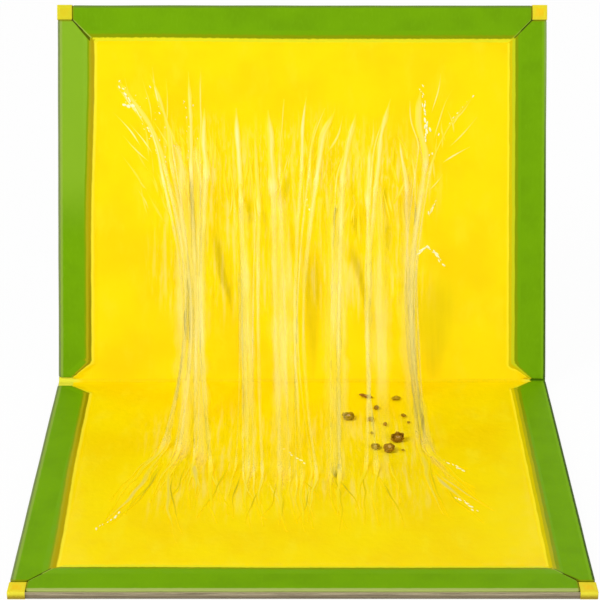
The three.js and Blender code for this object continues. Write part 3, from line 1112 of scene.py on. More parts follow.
def glue_border(leaf, x, distance, clear, end):
    """Where a point is across the glue's border band, whether it is the right band, and whether a far one.

    The border isn't quite parallel to the strips, and it is squeezed along the chamfers by the fold.
    """
    if abs(distance - FAR_INNER + clear) < ON_LINE:
        at_left, at_right = FAR_SHIFTS[leaf]
        return clear - at_left - (at_right - at_left) * step(x, *FAR_TURN), 0.0, 1.0
    if x < 0:
        by_fold, by_corner = LEFT_SHIFTS[leaf]
        shift = by_fold + (by_corner - by_fold) * step(distance, *LEFT_TURN)
    else:
        shift = RIGHT_SHIFTS[leaf]
    # The right band is painted lit and the left one painted shaded; the far bands, with a painted highlight
    # line, include the lower leaf's chamfers.
    right = float(x > 0)
    if distance < end + CHAMFER_ALONG and abs(x) > STRIP_INNER - 2:
        towards_tip = min(1, max(0, (abs(x) - STRIP_INNER + 1) / CHAMFER_ACROSS))
        squeezed = clear * (1 + CHAMFER_SQUEEZE * towards_tip) - shift * (1 - towards_tip)
        return squeezed, right, float(leaf == "lower")
    return clear - shift, right, 0.0


def glue_floor(clear):
    """Height of the underside: on the liner, or on the strip where the glue has climbed it."""
    return GLUE_BOTTOM + (0.008 - GLUE_BOTTOM) * step(-clear, -0.2, 0.3)


def store(piece, name, values):
    """Stores one number per point for the material to read."""
    piece.data.attributes.new(name, "FLOAT", "POINT").data.foreach_set("value", values)


# %% Finish of the glue


def banded(tree, colour, edge, bands):
    """Lays the colours of a border over a colour, each from its start to where it is full."""
    for start, full, band in bands:
        colour = blend_colour(tree, ramp(tree, edge, start, full), colour, band)
    return colour


def glue_material(leaf_name):
    """Clear glue over yellow, olive over the strips' green, pale and dark drawn streaks, painted glints,
    painted shadow between the bundles, and border bands with painted light and shade.
    """
    name = f"{leaf_name}_glue_over_yellow"
    material, tree, shader = sheet_material(name, 0.42, ior_level=0.05, coat=0.06, coat_roughness=0.12)
    leaf = attribute(tree, "leaf")
    web = attribute(tree, "web", "Fac")
    axes = separate(tree, leaf)
    slow = noise_value(tree, leaf, 0.03, 3.0)
    colour = blend_colour(tree, ramp(tree, slow, 0.35, 0.7), YELLOW, YELLOW_DEEP)
    patchy = streaky(tree, leaf, (0.12, 0.05, 0.1), 4.0, 0.6)
    colour = blend_colour(tree, ramp(tree, patchy, 0.5, 0.75, 0.0, 0.35), colour, YELLOW_GLINT)
    streaks = streaky(tree, leaf, (0.42, 0.035, 0.1), 3.0, 0.5)
    crinkle = streaky(tree, leaf, (0.9, 0.16, 0.1), 3.0, 0.6)
    crinkled = ramp(tree, axes[1], 70, 100, 0.1, 0.3) if leaf_name == "upper" else 0.12
    # The dark streaks are partly thicker glue and partly painted shade between the strings.
    for pattern, strength in ((streaks, 0.3), (crinkle, crinkled)):
        share = times(tree, web, strength)
        pale = times(tree, ramp(tree, pattern, 0.5, 0.7), share)
        colour = blend_colour(tree, pale, colour, CREAM)
        thick_and_shaded = times(tree, ramp(tree, pattern, 0.5, 0.32), share)
        colour = blend_colour(tree, thick_and_shaded, colour, STREAK_SHADE)
    # Painted shadow of the strings between the bundles, from the pad's shade mark.
    hollow = times(tree, attribute(tree, "shade", "Fac"), ramp(tree, streaks, 0.35, 0.6, 1.0, 0.75))
    colour = blend_colour(tree, hollow, colour, SHADOW_YELLOW)
    wobble = streaky(tree, leaf, (0.5, 0.1, 0.5), 3.0)
    edge = attribute(tree, "border", "Fac")
    edge = plus(tree, edge, times(tree, minus(tree, wobble, 0.5), 0.7))
    # On the upper leaf the left band's rim takes the strips' painted sheen.
    rim = GREEN
    if leaf_name == "upper":
        rim = blend_colour(tree, ramp(tree, axes[1], 60, 95), GREEN, GREEN_SHEEN)
    # Painted light and shade in the bands: the left band's painted shadow at its foot, deeper near the fold,
    # and its painted highlight; the right band's painted glint and lit band; the far band's painted highlight
    # line.
    foot_shadow = blend_colour(tree, ramp(tree, axes[1], 25, 75), BAND_SHADOW_DEEP, BAND_SHADOW)
    lit = BAND_LIT_PALE if leaf_name == "upper" else BAND_LIT_LIME
    # From the open glue outwards: where each colour of a border starts, where it is full, and the colour.
    left = (
        (2.0, 1.0, BAND_HIGHLIGHT),
        (0.8, 0.2, foot_shadow),
        (-0.5, -1.1, KHAKI),
        (-1.5, -2.2, OLIVE),
        (-2.4, -2.9, rim),
    )
    right = (
        (3.2, 2.6, YELLOW_GLINT),
        (2.3, 1.9, BAND_YELLOW),
        (1.0, 0.6, lit),
        (-0.3, -0.7, OLIVE_DARK),
        (-1.4, -2.2, GREEN),
    )
    far = ((1.6, 1.2, BAND_FAR_HIGHLIGHT), (0.2, -0.4, OLIVE_DARK), (-1.3, -2.2, GREEN))
    left, right, far = (banded(tree, colour, edge, bands) for bands in (left, right, far))
    colour = blend_colour(tree, attribute(tree, "right", "Fac"), left, right)
    colour = blend_colour(tree, attribute(tree, "far", "Fac"), colour, far)
    clear = attribute(tree, "clear", "Fac")
    on_strip = ramp(tree, clear, 0.2, -0.2)
    colour = mark_joint(tree, colour, leaf_name, axes, ramp(tree, axes[0], 5, -5), on_strip)
    smear = noise_value(tree, leaf, 0.2, 3.0)
    rough = ramp(tree, smear, 0.3, 0.7, 0.32, 0.5)
    wet = times(tree, ramp(tree, smear, 0.25, 0.75, 0.09, 0.03), ramp(tree, clear, -1.0, 0.5))
    tree.links.new(wet, shader.inputs["Coat Weight"])
    pulled = times(tree, plus(tree, streaks, crinkle), times(tree, web, 0.6))
    fine = times(tree, noise_value(tree, leaf, 0.35, 2.0), 0.35)
    wire(tree, shader, colour, rough, bump(tree, plus(tree, pulled, fine), 0.7, 0.5))
    return material


GLUE_OVER_YELLOW = {leaf: glue_material(leaf) for leaf in LEAVES}
# What each point of a pad tells the material.
PAD_MARKS = ("clear", "web", "border", "right", "far", "shade")


def make_glue_pad(leaf):
    """One pad: a grid widened by the fold, thickened, and shaped point by point."""
    ends = strip_ends(leaf)
    edge = STRIP_INNER + GLUE_ON_STRIP
    far_edge = FAR_INNER + GLUE_ON_STRIP
    pad = grid_sheet(f"{leaf}_glue", leaf, (-edge, PAD_START, 0), (edge, far_edge, 0), PAD_CELL)
    modify(pad, "SOLIDIFY", thickness=1 * MM, offset=-1)
    marks = {name: [] for name in PAD_MARKS}
    for v in pad.data.vertices:
        x, distance, height = leaf_numbers(leaf, v.co)
        end = ends[math.copysign(1, x)]
        x *= pad_half_width(distance, end) / edge
        clear = open_distance(x, distance, end)
        new_height = glue_height(leaf, x, distance, end) if height > -0.5 else glue_floor(clear)
        v.co = flat_place(leaf, x, distance, new_height)
        border = glue_border(leaf, x, distance, clear, end)
        values = (clear, web_share(leaf, x, distance), *border, shade_spot(leaf, x, distance))
        for name, value in zip(PAD_MARKS, values):
            marks[name].append(value)
    for name, values in marks.items():
        store(pad, name, values)
    recalculate(pad)
    smooth(pad, 60)
    settle(pad, leaf)
    paint(pad, GLUE_OVER_YELLOW[leaf])
    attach(pad, f"{leaf}_leaf")
    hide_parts(f"{leaf}_glue_pad")
    return pad


glue_pads = {leaf: make_glue_pad(leaf) for leaf in LEAVES}
print("glue pads:", {leaf: len(pad.data.polygons) for leaf, pad in glue_pads.items()})

# %% [markdown]
# ## Corner patches
# At each outer corner a small square of yellow tape is folded over the board, so its top shows as a square
# and its two flaps run down the edges. It could be a box, but tape has thickness and soft folds: a small
# sheet's outer edges are pulled out and down, the folds are bevelled, and the sheet is thickened inwards.

# %% Model the corner patches
TAPE_THICKNESS = 0.3
TAPE_FOLD = 0.35
TAPE_CELL = 1.3


def tape_material(leaf_name):
    """Yellow tape: orange in its middle, paler at its folds, with painted shadow along its lower rim."""
    material, tree, shader = sheet_material(f"{leaf_name}_yellow_tape", 0.45, ior_level=0.06)
    leaf = attribute(tree, "leaf")
    fibre = grouped(tree, PAPER_FIBRE, {"Place": leaf, "Scale": 1.4})
    axes = separate(tree, leaf)
    aside = unsigned(tree, axes[0])
    fold = smaller(tree, minus(tree, patch_high[0], aside), minus(tree, patch_high[1], axes[1]))
    inner = smaller(tree, minus(tree, aside, patch_low[0]), minus(tree, axes[1], patch_low[1]))
    blotch = times(tree, noise_value(tree, leaf, 0.5, 3.0), 1.6)
    middle = plus(tree, smaller(tree, fold, inner), blotch)
    colour = blend_colour(tree, ramp(tree, middle, 1.7, 3.0), TAPE_YELLOW, TAPE_ORANGE)
    colour = blend_colour(tree, ramp(tree, fibre.outputs["Shade"], 0.4, 0.8, 0.0, 0.4), colour, PALE_YELLOW)
    if leaf_name == "upper":
        dull = ramp(tree, axes[0], 5, -5, 0.0, 0.7)
        colour = blend_colour(tree, dull, colour, TAPE_DULL)
    wear = grouped(tree, EDGE_WEAR, {"Place": leaf, "Distance": fold, "Width": 0.5, "Scale": 1.1})
    colour = blend_colour(tree, times(tree, wear.outputs["Mask"], 0.6), colour, PALE_YELLOW)
    # Painted shadow along the lower rim of the flaps.
    low_shadow = ramp(tree, plus(tree, axes[2], times(tree, blotch, 0.3)), -0.9, -2.9)
    colour = blend_colour(tree, times(tree, low_shadow, 0.8), colour, TAPE_SHADOW)
    wire_paper(tree, shader, colour, fibre, 0.38, 0.55, 0.08)
    return material


TAPE = {leaf: tape_material(leaf) for leaf in LEAVES}


def corner_patch(leaf, hand_name, hand):
    """A square of tape whose outer edges are pulled down over the board's edges."""
    node_name = f"{leaf}_{hand_name}_corner_patch"
    low, high = leaf_box(node_name)
    patch = grid_sheet(f"{leaf}_{hand_name}_patch", leaf, low, high, TAPE_CELL)
    reach = ON_LINE * MM
    outer_x = flat_place(leaf, high[0] if hand > 0 else low[0], 0, 0).x
    outer_y = flat_place(leaf, 0, high[1], 0).y
    for on_edge in (lambda co: abs(co.x - outer_x) < reach, lambda co: abs(co.y - outer_y) < reach):
        pick(patch, "edges", lambda co: on_edge(co) and co.z > FOLD.z + high[2] * MM - reach)
        bpy.ops.mesh.extrude_region_move(TRANSFORM_OT_translate={"value": (0, 0, (low[2] - high[2]) * MM)})
        leave_edit()
    modify(patch, "WELD", merge_threshold=reach)
    recalculate(patch)
    if sum(p.normal.z for p in patch.data.polygons) < 0:
        patch.data.flip_normals()
    round_folds(patch, TAPE_FOLD, 60)
    modify(patch, "SOLIDIFY", thickness=TAPE_THICKNESS * MM, offset=-1, use_even_offset=True)
    smooth(patch, 40)
    settle(patch, leaf)
    paint(patch, TAPE[leaf])
    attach(patch, f"{leaf}_leaf")
    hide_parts(node_name)
    return patch


patches = [corner_patch(leaf, name, hand) for leaf in LEAVES for name, hand in HANDS.items()]
print("patches:", {patch.name: len(patch.data.polygons) for patch in patches})

# %% [markdown]
# ## The fold
# The yellow liner crosses the fold without a break and the green cover wraps round its back, so together
# they are the hinge. Each is one bent sheet. Both start as a narrow flat strip on the lower leaf, whose
# edge is spun round to the upper leaf's angle and drawn on.

# %% Model the fold
FOLD_TAIL = 1.4
LINER_TOP = leaf_box("lower_liner")[1][2]
LINER_THICK = LINER_TOP - leaf_box("lower_liner")[0][2]
COVER_BACK = leaf_box("lower_outer_cover")[0][2]
COVER_THICK = leaf_box("lower_outer_cover")[1][2] - COVER_BACK
LINER_BEND = 1.3
FOLD_STEPS = 10
FOLD_CELL = 4.0
FOLD_WELD = 0.005


def bent_strip(name, height, centre_height, turn_start):
    """A strip along the fold at a height, spun about a line at another height, out of both leaves' tails."""
    low = (-HALF_WIDTH, turn_start, height)
    sheet = grid_sheet(name, "lower", low, (HALF_WIDTH, FOLD_TAIL, height), FOLD_CELL)
    near_y = flat_place("lower", 0, turn_start, 0).y
    pick(sheet, "edges", lambda co: abs(co.y - near_y) < ON_LINE * MM)
    centre = flat_place("lower", 0, turn_start, centre_height)
    bpy.ops.mesh.spin(steps=FOLD_STEPS, angle=-TILT, center=centre, axis=(1, 0, 0))
    onward = MM * (FOLD_TAIL - turn_start) * Vector((0, math.cos(TILT), math.sin(TILT)))
    bpy.ops.mesh.extrude_region_move(TRANSFORM_OT_translate={"value": onward})
    leave_edit()
    modify(sheet, "WELD", merge_threshold=FOLD_WELD * MM)
    return sheet


def finish_fold(sheet, thickness, offset, material, node_name):
    """Gives a bent strip its thickness and material."""
    recalculate(sheet)
    if sum(p.normal.z - p.normal.y for p in sheet.data.polygons) < 0:
        sheet.data.flip_normals()
    modify(sheet, "SOLIDIFY", thickness=thickness * MM, offset=offset, use_even_offset=True)
    recalculate(sheet)
    smooth(sheet, 50)
    paint(sheet, material)
    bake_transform(sheet)
    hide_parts(node_name)


def fold_paper_material(name, fresh, deeper, worn, at_left, at_right, scale):
    """Printed paper that has been creased: fibre, long pale cracks along the fold, and other colours at its
    ends.
    """
    material, tree, shader = sheet_material(name, 0.5, ior_level=0.05)
    spot = object_place(tree)
    fibre = grouped(tree, PAPER_FIBRE, {"Place": spot, "Scale": scale})
    colour = blend_colour(tree, ramp(tree, fibre.outputs["Shade"], 0.35, 0.7), fresh, deeper)
    cracks = streaky(tree, spot, (0.12, 1.8, 1.8), 4.0, 0.65)
    colour = blend_colour(tree, ramp(tree, cracks, 0.55, 0.7, 0.0, 0.15), colour, worn)
    aside = separate(tree, spot)[0]
    colour = blend_colour(tree, ramp(tree, unsigned(tree, aside), 96, 101), colour, at_left)
    colour = blend_colour(tree, ramp(tree, aside, 100.4, 101.2), colour, at_right)
    rough = ramp(tree, cracks, 0.35, 0.7, 0.42, 0.65)
    creased = plus(tree, fibre.outputs["Height"], cracks)
    wire(tree, shader, colour, rough, bump(tree, creased, 0.08, 0.6))
    return material


liner_apex = LINER_TOP * math.tan(TILT / 2)
liner_turn = liner_apex + LINER_BEND * math.tan(TILT / 2)
fold_liner = bent_strip("fold_lining", LINER_TOP, LINER_TOP + LINER_BEND, liner_turn)
# The lining's ends carry a painted highlight, and its right tip painted shade in the crease between the
# strips.
liner_colours = (YELLOW_DEEP, FOLD_YELLOW, PALE_YELLOW, LIME_HIGHLIGHT, CREASE_SHADE)
liner_paper = fold_paper_material("fold_yellow", *liner_colours, scale=1.1)
finish_fold(fold_liner, LINER_THICK, -1, liner_paper, "fold_liner")

spine = bent_strip("spine_paper", COVER_BACK, 0, 0)
spine_colours = (GREEN, GREEN_SHADE, WORN_GREEN, GREEN_LIGHT, GREEN_LIGHT)
spine_cover_paper = fold_paper_material("spine_green", *spine_colours, scale=0.8)
finish_fold(spine, COVER_THICK, 1, spine_cover_paper, "spine_cover")
print("fold pieces:", len(fold_liner.data.polygons), "and", len(spine.data.polygons), "faces")

# %% [markdown]
# ## Bait crumbs
# Thirteen crumbs of brown bait are stuck in the glue near the fold. Each real one is a different broken
# lump, so each starts as a fine ball and is stretched and turned as the frame says, roughened by noise and
# cut flat below. Five have a hollow face with a baked rim, made by an inset that is pushed down.

# %% Model the crumbs
CRUMB_TURNS = (-24, 12, 30, -15, 62, -8, 0, 75, 20, 24, -20, 40, 10)
# How much larger than its solid the ball of a crumb starts.
CRUMB_SWELL = 1.04
# The full swing of a crumb's noise, as a share of its smallest side.
CRUMB_ROUGHNESS = 0.832
CRUMB_GRAIN = 1.6
# How deep the face of a cupped crumb is, and which way all faces look.
CUPPED_CRUMBS = {1: 0.5, 4: 0.9, 10: 1.2, 11: 0.8, 12: 0.4}
CUP_FACING = Vector((0, -0.6, 0.8))
# The cup, as shares of the crumb's reach that way: where it begins, its rim, and its full depth.
CUP_START = 0.55
CUP_RIM = 0.1
CUP_DEPTH = 0.5
# The pale face: how it comes in from the back, how it fades to its rim, and its strength without a cup.
FACE_FRONT = (-0.1, 0.3)
FACE_BORDER = (0.12, 0.55)
PLAIN_FACE = 0.6
RED_CRUMBS = (1, 8)
RED_TONE = 0.7
# How olive and pale a crumb's crust is.
PALE_CRUMBS = {2: 0.9, 4: 0.6, 5: 0.5, 6: 0.4, 7: 0.6, 9: 0.8, 11: 0.5, 13: 0.8}

crumb_noise = bpy.data.textures.new("crumb_noise", "CLOUDS")
crumb_noise.noise_scale = CRUMB_GRAIN * MM
crumb_noise.noise_depth = 2


def crumb_material():
    """Baked crumb: dark crust, paler on the face that looks up and forward, with coarse grain."""
    material, tree, shader = sheet_material("baked_crumb", 0.6, ior_level=0.12, coat=0.04, coat_roughness=0.2)
    spot = object_place(tree)
    face = attribute(tree, "face", "Fac")
    tone = attribute(tree, "tone", "Fac")
    pale = attribute(tree, "pale", "Fac")
    grain = noise_value(tree, spot, 1.6, 4.0, 0.7)
    coarse = noise_value(tree, spot, 0.5, 3.0, 0.6)
    crust = blend_colour(tree, ramp(tree, grain, 0.35, 0.7), CRUST_DARK, CRUST)
    crust = blend_colour(tree, tone, crust, CRUST_RED)
    crust = blend_colour(tree, times(tree, pale, ramp(tree, coarse, 0.3, 0.6, 0.5, 1.0)), crust, CRUST_OLIVE)
    inside = blend_colour(tree, ramp(tree, coarse, 0.4, 0.65), CRUMB_LIGHT, CRUMB_PINK)
    share = plus(tree, face, times(tree, minus(tree, grain, 0.5), 0.7))
    colour = blend_colour(tree, ramp(tree, share, 0.35, 0.75), crust, inside)
    wire(tree, shader, colour, ramp(tree, grain, 0.3, 0.7, 0.45, 0.75), bump(tree, grain, 0.35, 0.8))
    return material


CRUMB = crumb_material()


def crumb_measures(node_name, turn):
    """Middle, and length, width and height of a crumb's solid, measured along its own turned axes."""
    low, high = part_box(node_name)
    middle = (low + high) / 2
    back = Matrix.Rotation(-turn, 4, "Z")
    corners = [back @ (v.co - middle) for v in frame["nodes"][node_name].data.vertices]
    return middle, [max(c[i] for c in corners) - min(c[i] for c in corners) for i in range(3)]


def make_crumb(number, turn_degrees):
    """One crumb: a ball stretched and turned as its solid is, cupped, roughened and cut flat below."""
    node_name = f"bait_crumb_{number:02d}"
    turn = math.radians(turn_degrees)
    middle, sizes = crumb_measures(node_name, turn)
    deselect()
    bpy.ops.mesh.primitive_ico_sphere_add(subdivisions=5, radius=0.5, location=middle)
    crumb = bpy.context.object
    rename(crumb, f"crumb_{number:02d}")
    crumb.scale = [size * CRUMB_SWELL for size in sizes]
    crumb.rotation_euler.z = turn
    bpy.ops.object.transform_apply(location=True, rotation=True, scale=True)
    hollow = CUPPED_CRUMBS.get(number, 0)
    back = Matrix.Rotation(-turn, 4, "Z")
    facing = back @ CUP_FACING
    depth = math.hypot(facing.x * sizes[0], facing.y * sizes[1], facing.z * sizes[2]) / 2
    if hollow:
        pick(crumb, "polygons", lambda co: (co - middle).dot(CUP_FACING) > CUP_START * depth)
        bpy.ops.mesh.inset(thickness=CUP_RIM * depth, depth=0)
        bpy.ops.transform.translate(value=tuple(CUP_FACING * -CUP_DEPTH * hollow * depth))
        leave_edit()
    roughen(crumb, crumb_noise, CRUMB_ROUGHNESS * min(sizes))
    low_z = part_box(node_name)[0].z
    pick(crumb, "polygons", lambda co: True)
    bpy.ops.mesh.bisect(plane_co=(0, 0, low_z), plane_no=(0, 0, -1), clear_outer=True, use_fill=True)
    leave_edit()
    recalculate(crumb)
    smooth(crumb, 70)
    faces = []
    for v in crumb.data.vertices:
        spot = back @ (v.co - middle)
        ahead = spot.dot(facing)
        aside = spot - ahead * facing
        away = math.hypot(*(2 * aside[i] / sizes[i] for i in range(3)))
        full = 1.0 if hollow else PLAIN_FACE
        faces.append(step(ahead / depth, *FACE_FRONT) * (1 - step(away, *FACE_BORDER)) * full)
    store(crumb, "face", faces)
    store(crumb, "tone", [RED_TONE if number in RED_CRUMBS else 0.0] * len(faces))
    store(crumb, "pale", [PALE_CRUMBS.get(number, 0.0)] * len(faces))
    paint(crumb, CRUMB)
    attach(crumb, "lower_leaf")
    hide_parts(node_name)
    return crumb


crumbs = [make_crumb(number, turn) for number, turn in enumerate(CRUMB_TURNS, 1)]
print("crumbs:", {crumb.name: len(crumb.data.polygons) for crumb in crumbs})

# %% [markdown]
# ## Drawn-out glue
# As the board was opened the glue was pulled into strings. Each begins as a glossy tongue on the upper
# pad, lifts off, spans the corner as a thin translucent film, lands on the lower pad and runs out there as
# a root. A round tube would look like wire, so each one is a ribbon: a small grid whose rows follow the
# string's path and whose columns cross it, slightly crowned and puckered, then thickened. The ribbons of a
# bundle are joined into one piece, which hangs between both leaves.

# %% Finish of the drawn glue
STRING_YELLOW = (1.0, 0.84, 0.06)
STRING_CREAM = (1.0, 0.90, 0.26)
STRING_HIGHLIGHT = (1.0, 0.98, 0.5)
STRING_ROSE = (0.95, 0.74, 0.3)
STRING_SHADE = (0.60, 0.47, 0.01)
BEAD_HIGHLIGHT = (1.0, 0.98, 0.6)
SHADOW_SHARE = 0.22


def drawn_glue_material():
    """Stretched glue: cream with fine pale striations, see-through in the air, yellow at its edges, with
    painted shade and painted highlights.

    Real films let light through, so they cast only a share of the shadow that their opacity would give.
    """
    material, tree, shader = sheet_material("drawn_glue", 0.2, ior_level=0.12)
    film = attribute(tree, "film")
    tint = separate(tree, attribute(tree, "tint"))
    body = attribute(tree, "body", "Fac")
    air = attribute(tree, "air", "Fac")
    fine = streaky(tree, film, (1.1, 0.04, 1.0), 2.0, 0.5)
    broad = streaky(tree, film, (0.3, 0.02, 1.0), 2.0, 0.5)
    lines = plus(tree, times(tree, fine, 0.3), times(tree, broad, 0.7))
    colour = blend_colour(tree, ramp(tree, lines, 0.4, 0.6), STRING_YELLOW, STRING_CREAM)
    colour = blend_colour(tree, tint[0], colour, STRING_ROSE)
    colour = blend_colour(tree, tint[1], colour, STRING_SHADE)
    bright = times(tree, tint[2], ramp(tree, fine, 0.35, 0.6, 0.5, 1.0))
    colour = blend_colour(tree, bright, colour, STRING_HIGHLIGHT)
    density = times(tree, body, ramp(tree, lines, 0.36, 0.64, 0.6, 1.35), clamp=True)
    colour = blend_colour(tree, plus(tree, air, density, clamp=True), YELLOW, colour)
    wire(tree, shader, colour, ramp(tree, fine, 0.3, 0.7, 0.15, 0.3), bump(tree, lines, 0.05, 0.5))
    gaps = times(tree, air, minus(tree, 1.0, density))
    alpha = minus(tree, 1.0, gaps)
    rays = node(tree, "ShaderNodeLightPath")
    passed = times(tree, rays.outputs["Is Shadow Ray"], 1 - SHADOW_SHARE)
    alpha = times(tree, alpha, minus(tree, 1.0, passed))
    tree.links.new(alpha, shader.inputs["Alpha"])
    return material


DRAWN_GLUE = drawn_glue_material()

# %% Ribbon tools
STRING_LIFT = 0.17
STRING_SAG = 0.04
STRING_THICKNESS = 0.14
FLAT_SHARE = 0.05
EDGE_FADE = (0.1, 1.02)
PUCKER_WIDTH = 1.6
PUCKER_LENGTH = 45
PUCKER_HEIGHT = 0.035
# Beyond these half widths a ribbon's puckers and its crown grow no more.
PUCKER_LIMIT = 3.0
CROWN_LIMIT = 1.6
# How much a ribbon's width varies, and over what length.
RAGGED_SHARE = 0.45
RAGGED_LENGTH = 6
ROW_LENGTH = 2.0
WANDER = {"upper": 0.9, "lower": 2.0}
WANDER_LENGTH = 7.0
SMOOTH_PASSES = 4
PAD_ENDS = {leaf: strip_ends(leaf) for leaf in LEAVES}
LEAF_NORMALS = {"lower": Vector((0, 0, 1)), "upper": RAISE.to_3x3() @ Vector((0, 0, 1))}


def mixed(first, second, share):
    return first + (second - first) * share


def pad_height(leaf, x, distance):
    """Height of a glue pad's surface at a place."""
    return glue_height(leaf, x, distance, PAD_ENDS[leaf][math.copysign(1, x)])


def on_glue(leaf, x, distance):
    """A place just over the surface of a glue pad."""
    return place(leaf, x, distance, pad_height(leaf, x, distance) + STRING_LIFT)


def pad_run(leaf, start, end, sway, count):
    """Points over a pad from one place to another, bowed sideways by a sway and wandering a little."""
    spots = []
    for i in range(count + 1):
        share = i / count
        distance = mixed(start[1], end[1], share)
        wander = WANDER[leaf] * drift(distance / WANDER_LENGTH, start[0] * 0.7, start[1] * 0.3)
        x = mixed(start[0], end[0], share) + (sway + wander) * math.sin(math.pi * share)
        spots.append(on_glue(leaf, x, distance))
    return spots


def air_run(leave, land, sway, count):
    """Points of the free span: nearly straight, sagging a little towards the fold."""
    top = on_glue("upper", *leave)
    bottom = on_glue("lower", *land)
    to_fold = FOLD - (top + bottom) / 2
    to_fold.x = 0
    sag = to_fold.normalized() * STRING_SAG * MM * (leave[1] + land[1]) / 2
    bow = sag + Vector((sway * MM, 0, 0))
    return [mixed(top, bottom, i / count) + bow * math.sin(math.pi * i / count) for i in range(count + 1)]


def row_count(length_mm):
    return max(4, round(length_mm / ROW_LENGTH))


def flat_length(start, end):
    return math.hypot(start[0] - end[0], start[1] - end[1])


def smoothed(spots):
    """Rounds the corners of a row of points."""
    for _ in range(SMOOTH_PASSES):
        middle = [(a + 2 * b + c) / 4 for a, b, c in zip(spots, spots[1:], spots[2:])]
        spots = [spots[0], *middle, spots[-1]]
    return spots


def between_stations(stations, values, row):
    """The value at a row, eased between the values given at a few stations."""
    for first, last, start, end in zip(stations, stations[1:], values, values[1:]):
        if row <= last:
            return mixed(start, end, step(row, first, last))
    return values[-1]


Row = namedtuple("Row", "half front body air glint dark")


def lay_ribbon(spots, ribbon_rows, rose, columns, crown, seed):
    """One ribbon as its own mesh: a row for each spot, and columns that run its whole length."""
    deselect()
    rows = len(spots) - 1
    bpy.ops.mesh.primitive_grid_add(x_subdivisions=columns, y_subdivisions=rows, size=1)
    ribbon = bpy.context.object
    mesh = ribbon.data
    along = [0.0]
    for first, second in zip(spots, spots[1:]):
        along.append(along[-1] + (second - first).length / MM)
    films, tints, bodies, airs = [], [], [], []
    for v in mesh.vertices:
        across = 2 * v.co.x
        row = round((0.5 - v.co.y) * rows)
        ahead = (spots[min(row + 1, rows)] - spots[max(row - 1, 0)]).normalized()
        here = ribbon_rows[row]
        half = here.half * (1 + RAGGED_SHARE * drift(along[row] / RAGGED_LENGTH, seed, 0.5))
        front = (here.front - ahead * here.front.dot(ahead)).normalized()
        side = front.cross(ahead)
        offset = across * half
        pucker = drift(offset / PUCKER_WIDTH, along[row] / PUCKER_LENGTH, seed)
        rounding = crown * mixed(FLAT_SHARE, 1, here.body) * min(half, CROWN_LIMIT)
        rise = rounding * (1 - across * across) + PUCKER_HEIGHT * min(half, PUCKER_LIMIT) * pucker
        v.co = spots[row] + MM * (offset * side + rise * front)
        films.extend((offset, along[row], seed))
        tints.extend((rose, here.dark, here.glint))
        bodies.append(here.body * (1 - step(abs(across), *EDGE_FADE)))
        airs.append(here.air)
    mesh.attributes.new("film", "FLOAT_VECTOR", "POINT").data.foreach_set("vector", films)
    mesh.attributes.new("tint", "FLOAT_VECTOR", "POINT").data.foreach_set("vector", tints)
    store(ribbon, "body", bodies)
    store(ribbon, "air", airs)
    return ribbon


def join_ribbons(ribbons, name):
    """Joins ribbons into one piece of closed films."""
    piece = join(ribbons, name)
    modify(piece, "SOLIDIFY", thickness=STRING_THICKNESS * MM, offset=0)
    recalculate(piece)
    smooth(piece, 60)
    paint(piece, DRAWN_GLUE)
    return piece


# %% [markdown]
# ## The strings of each bundle
# The table lists every string by its places. A bundle has one or two tongues, often a veil beside them,
# and a loose thread drawn at random near the first tongue.

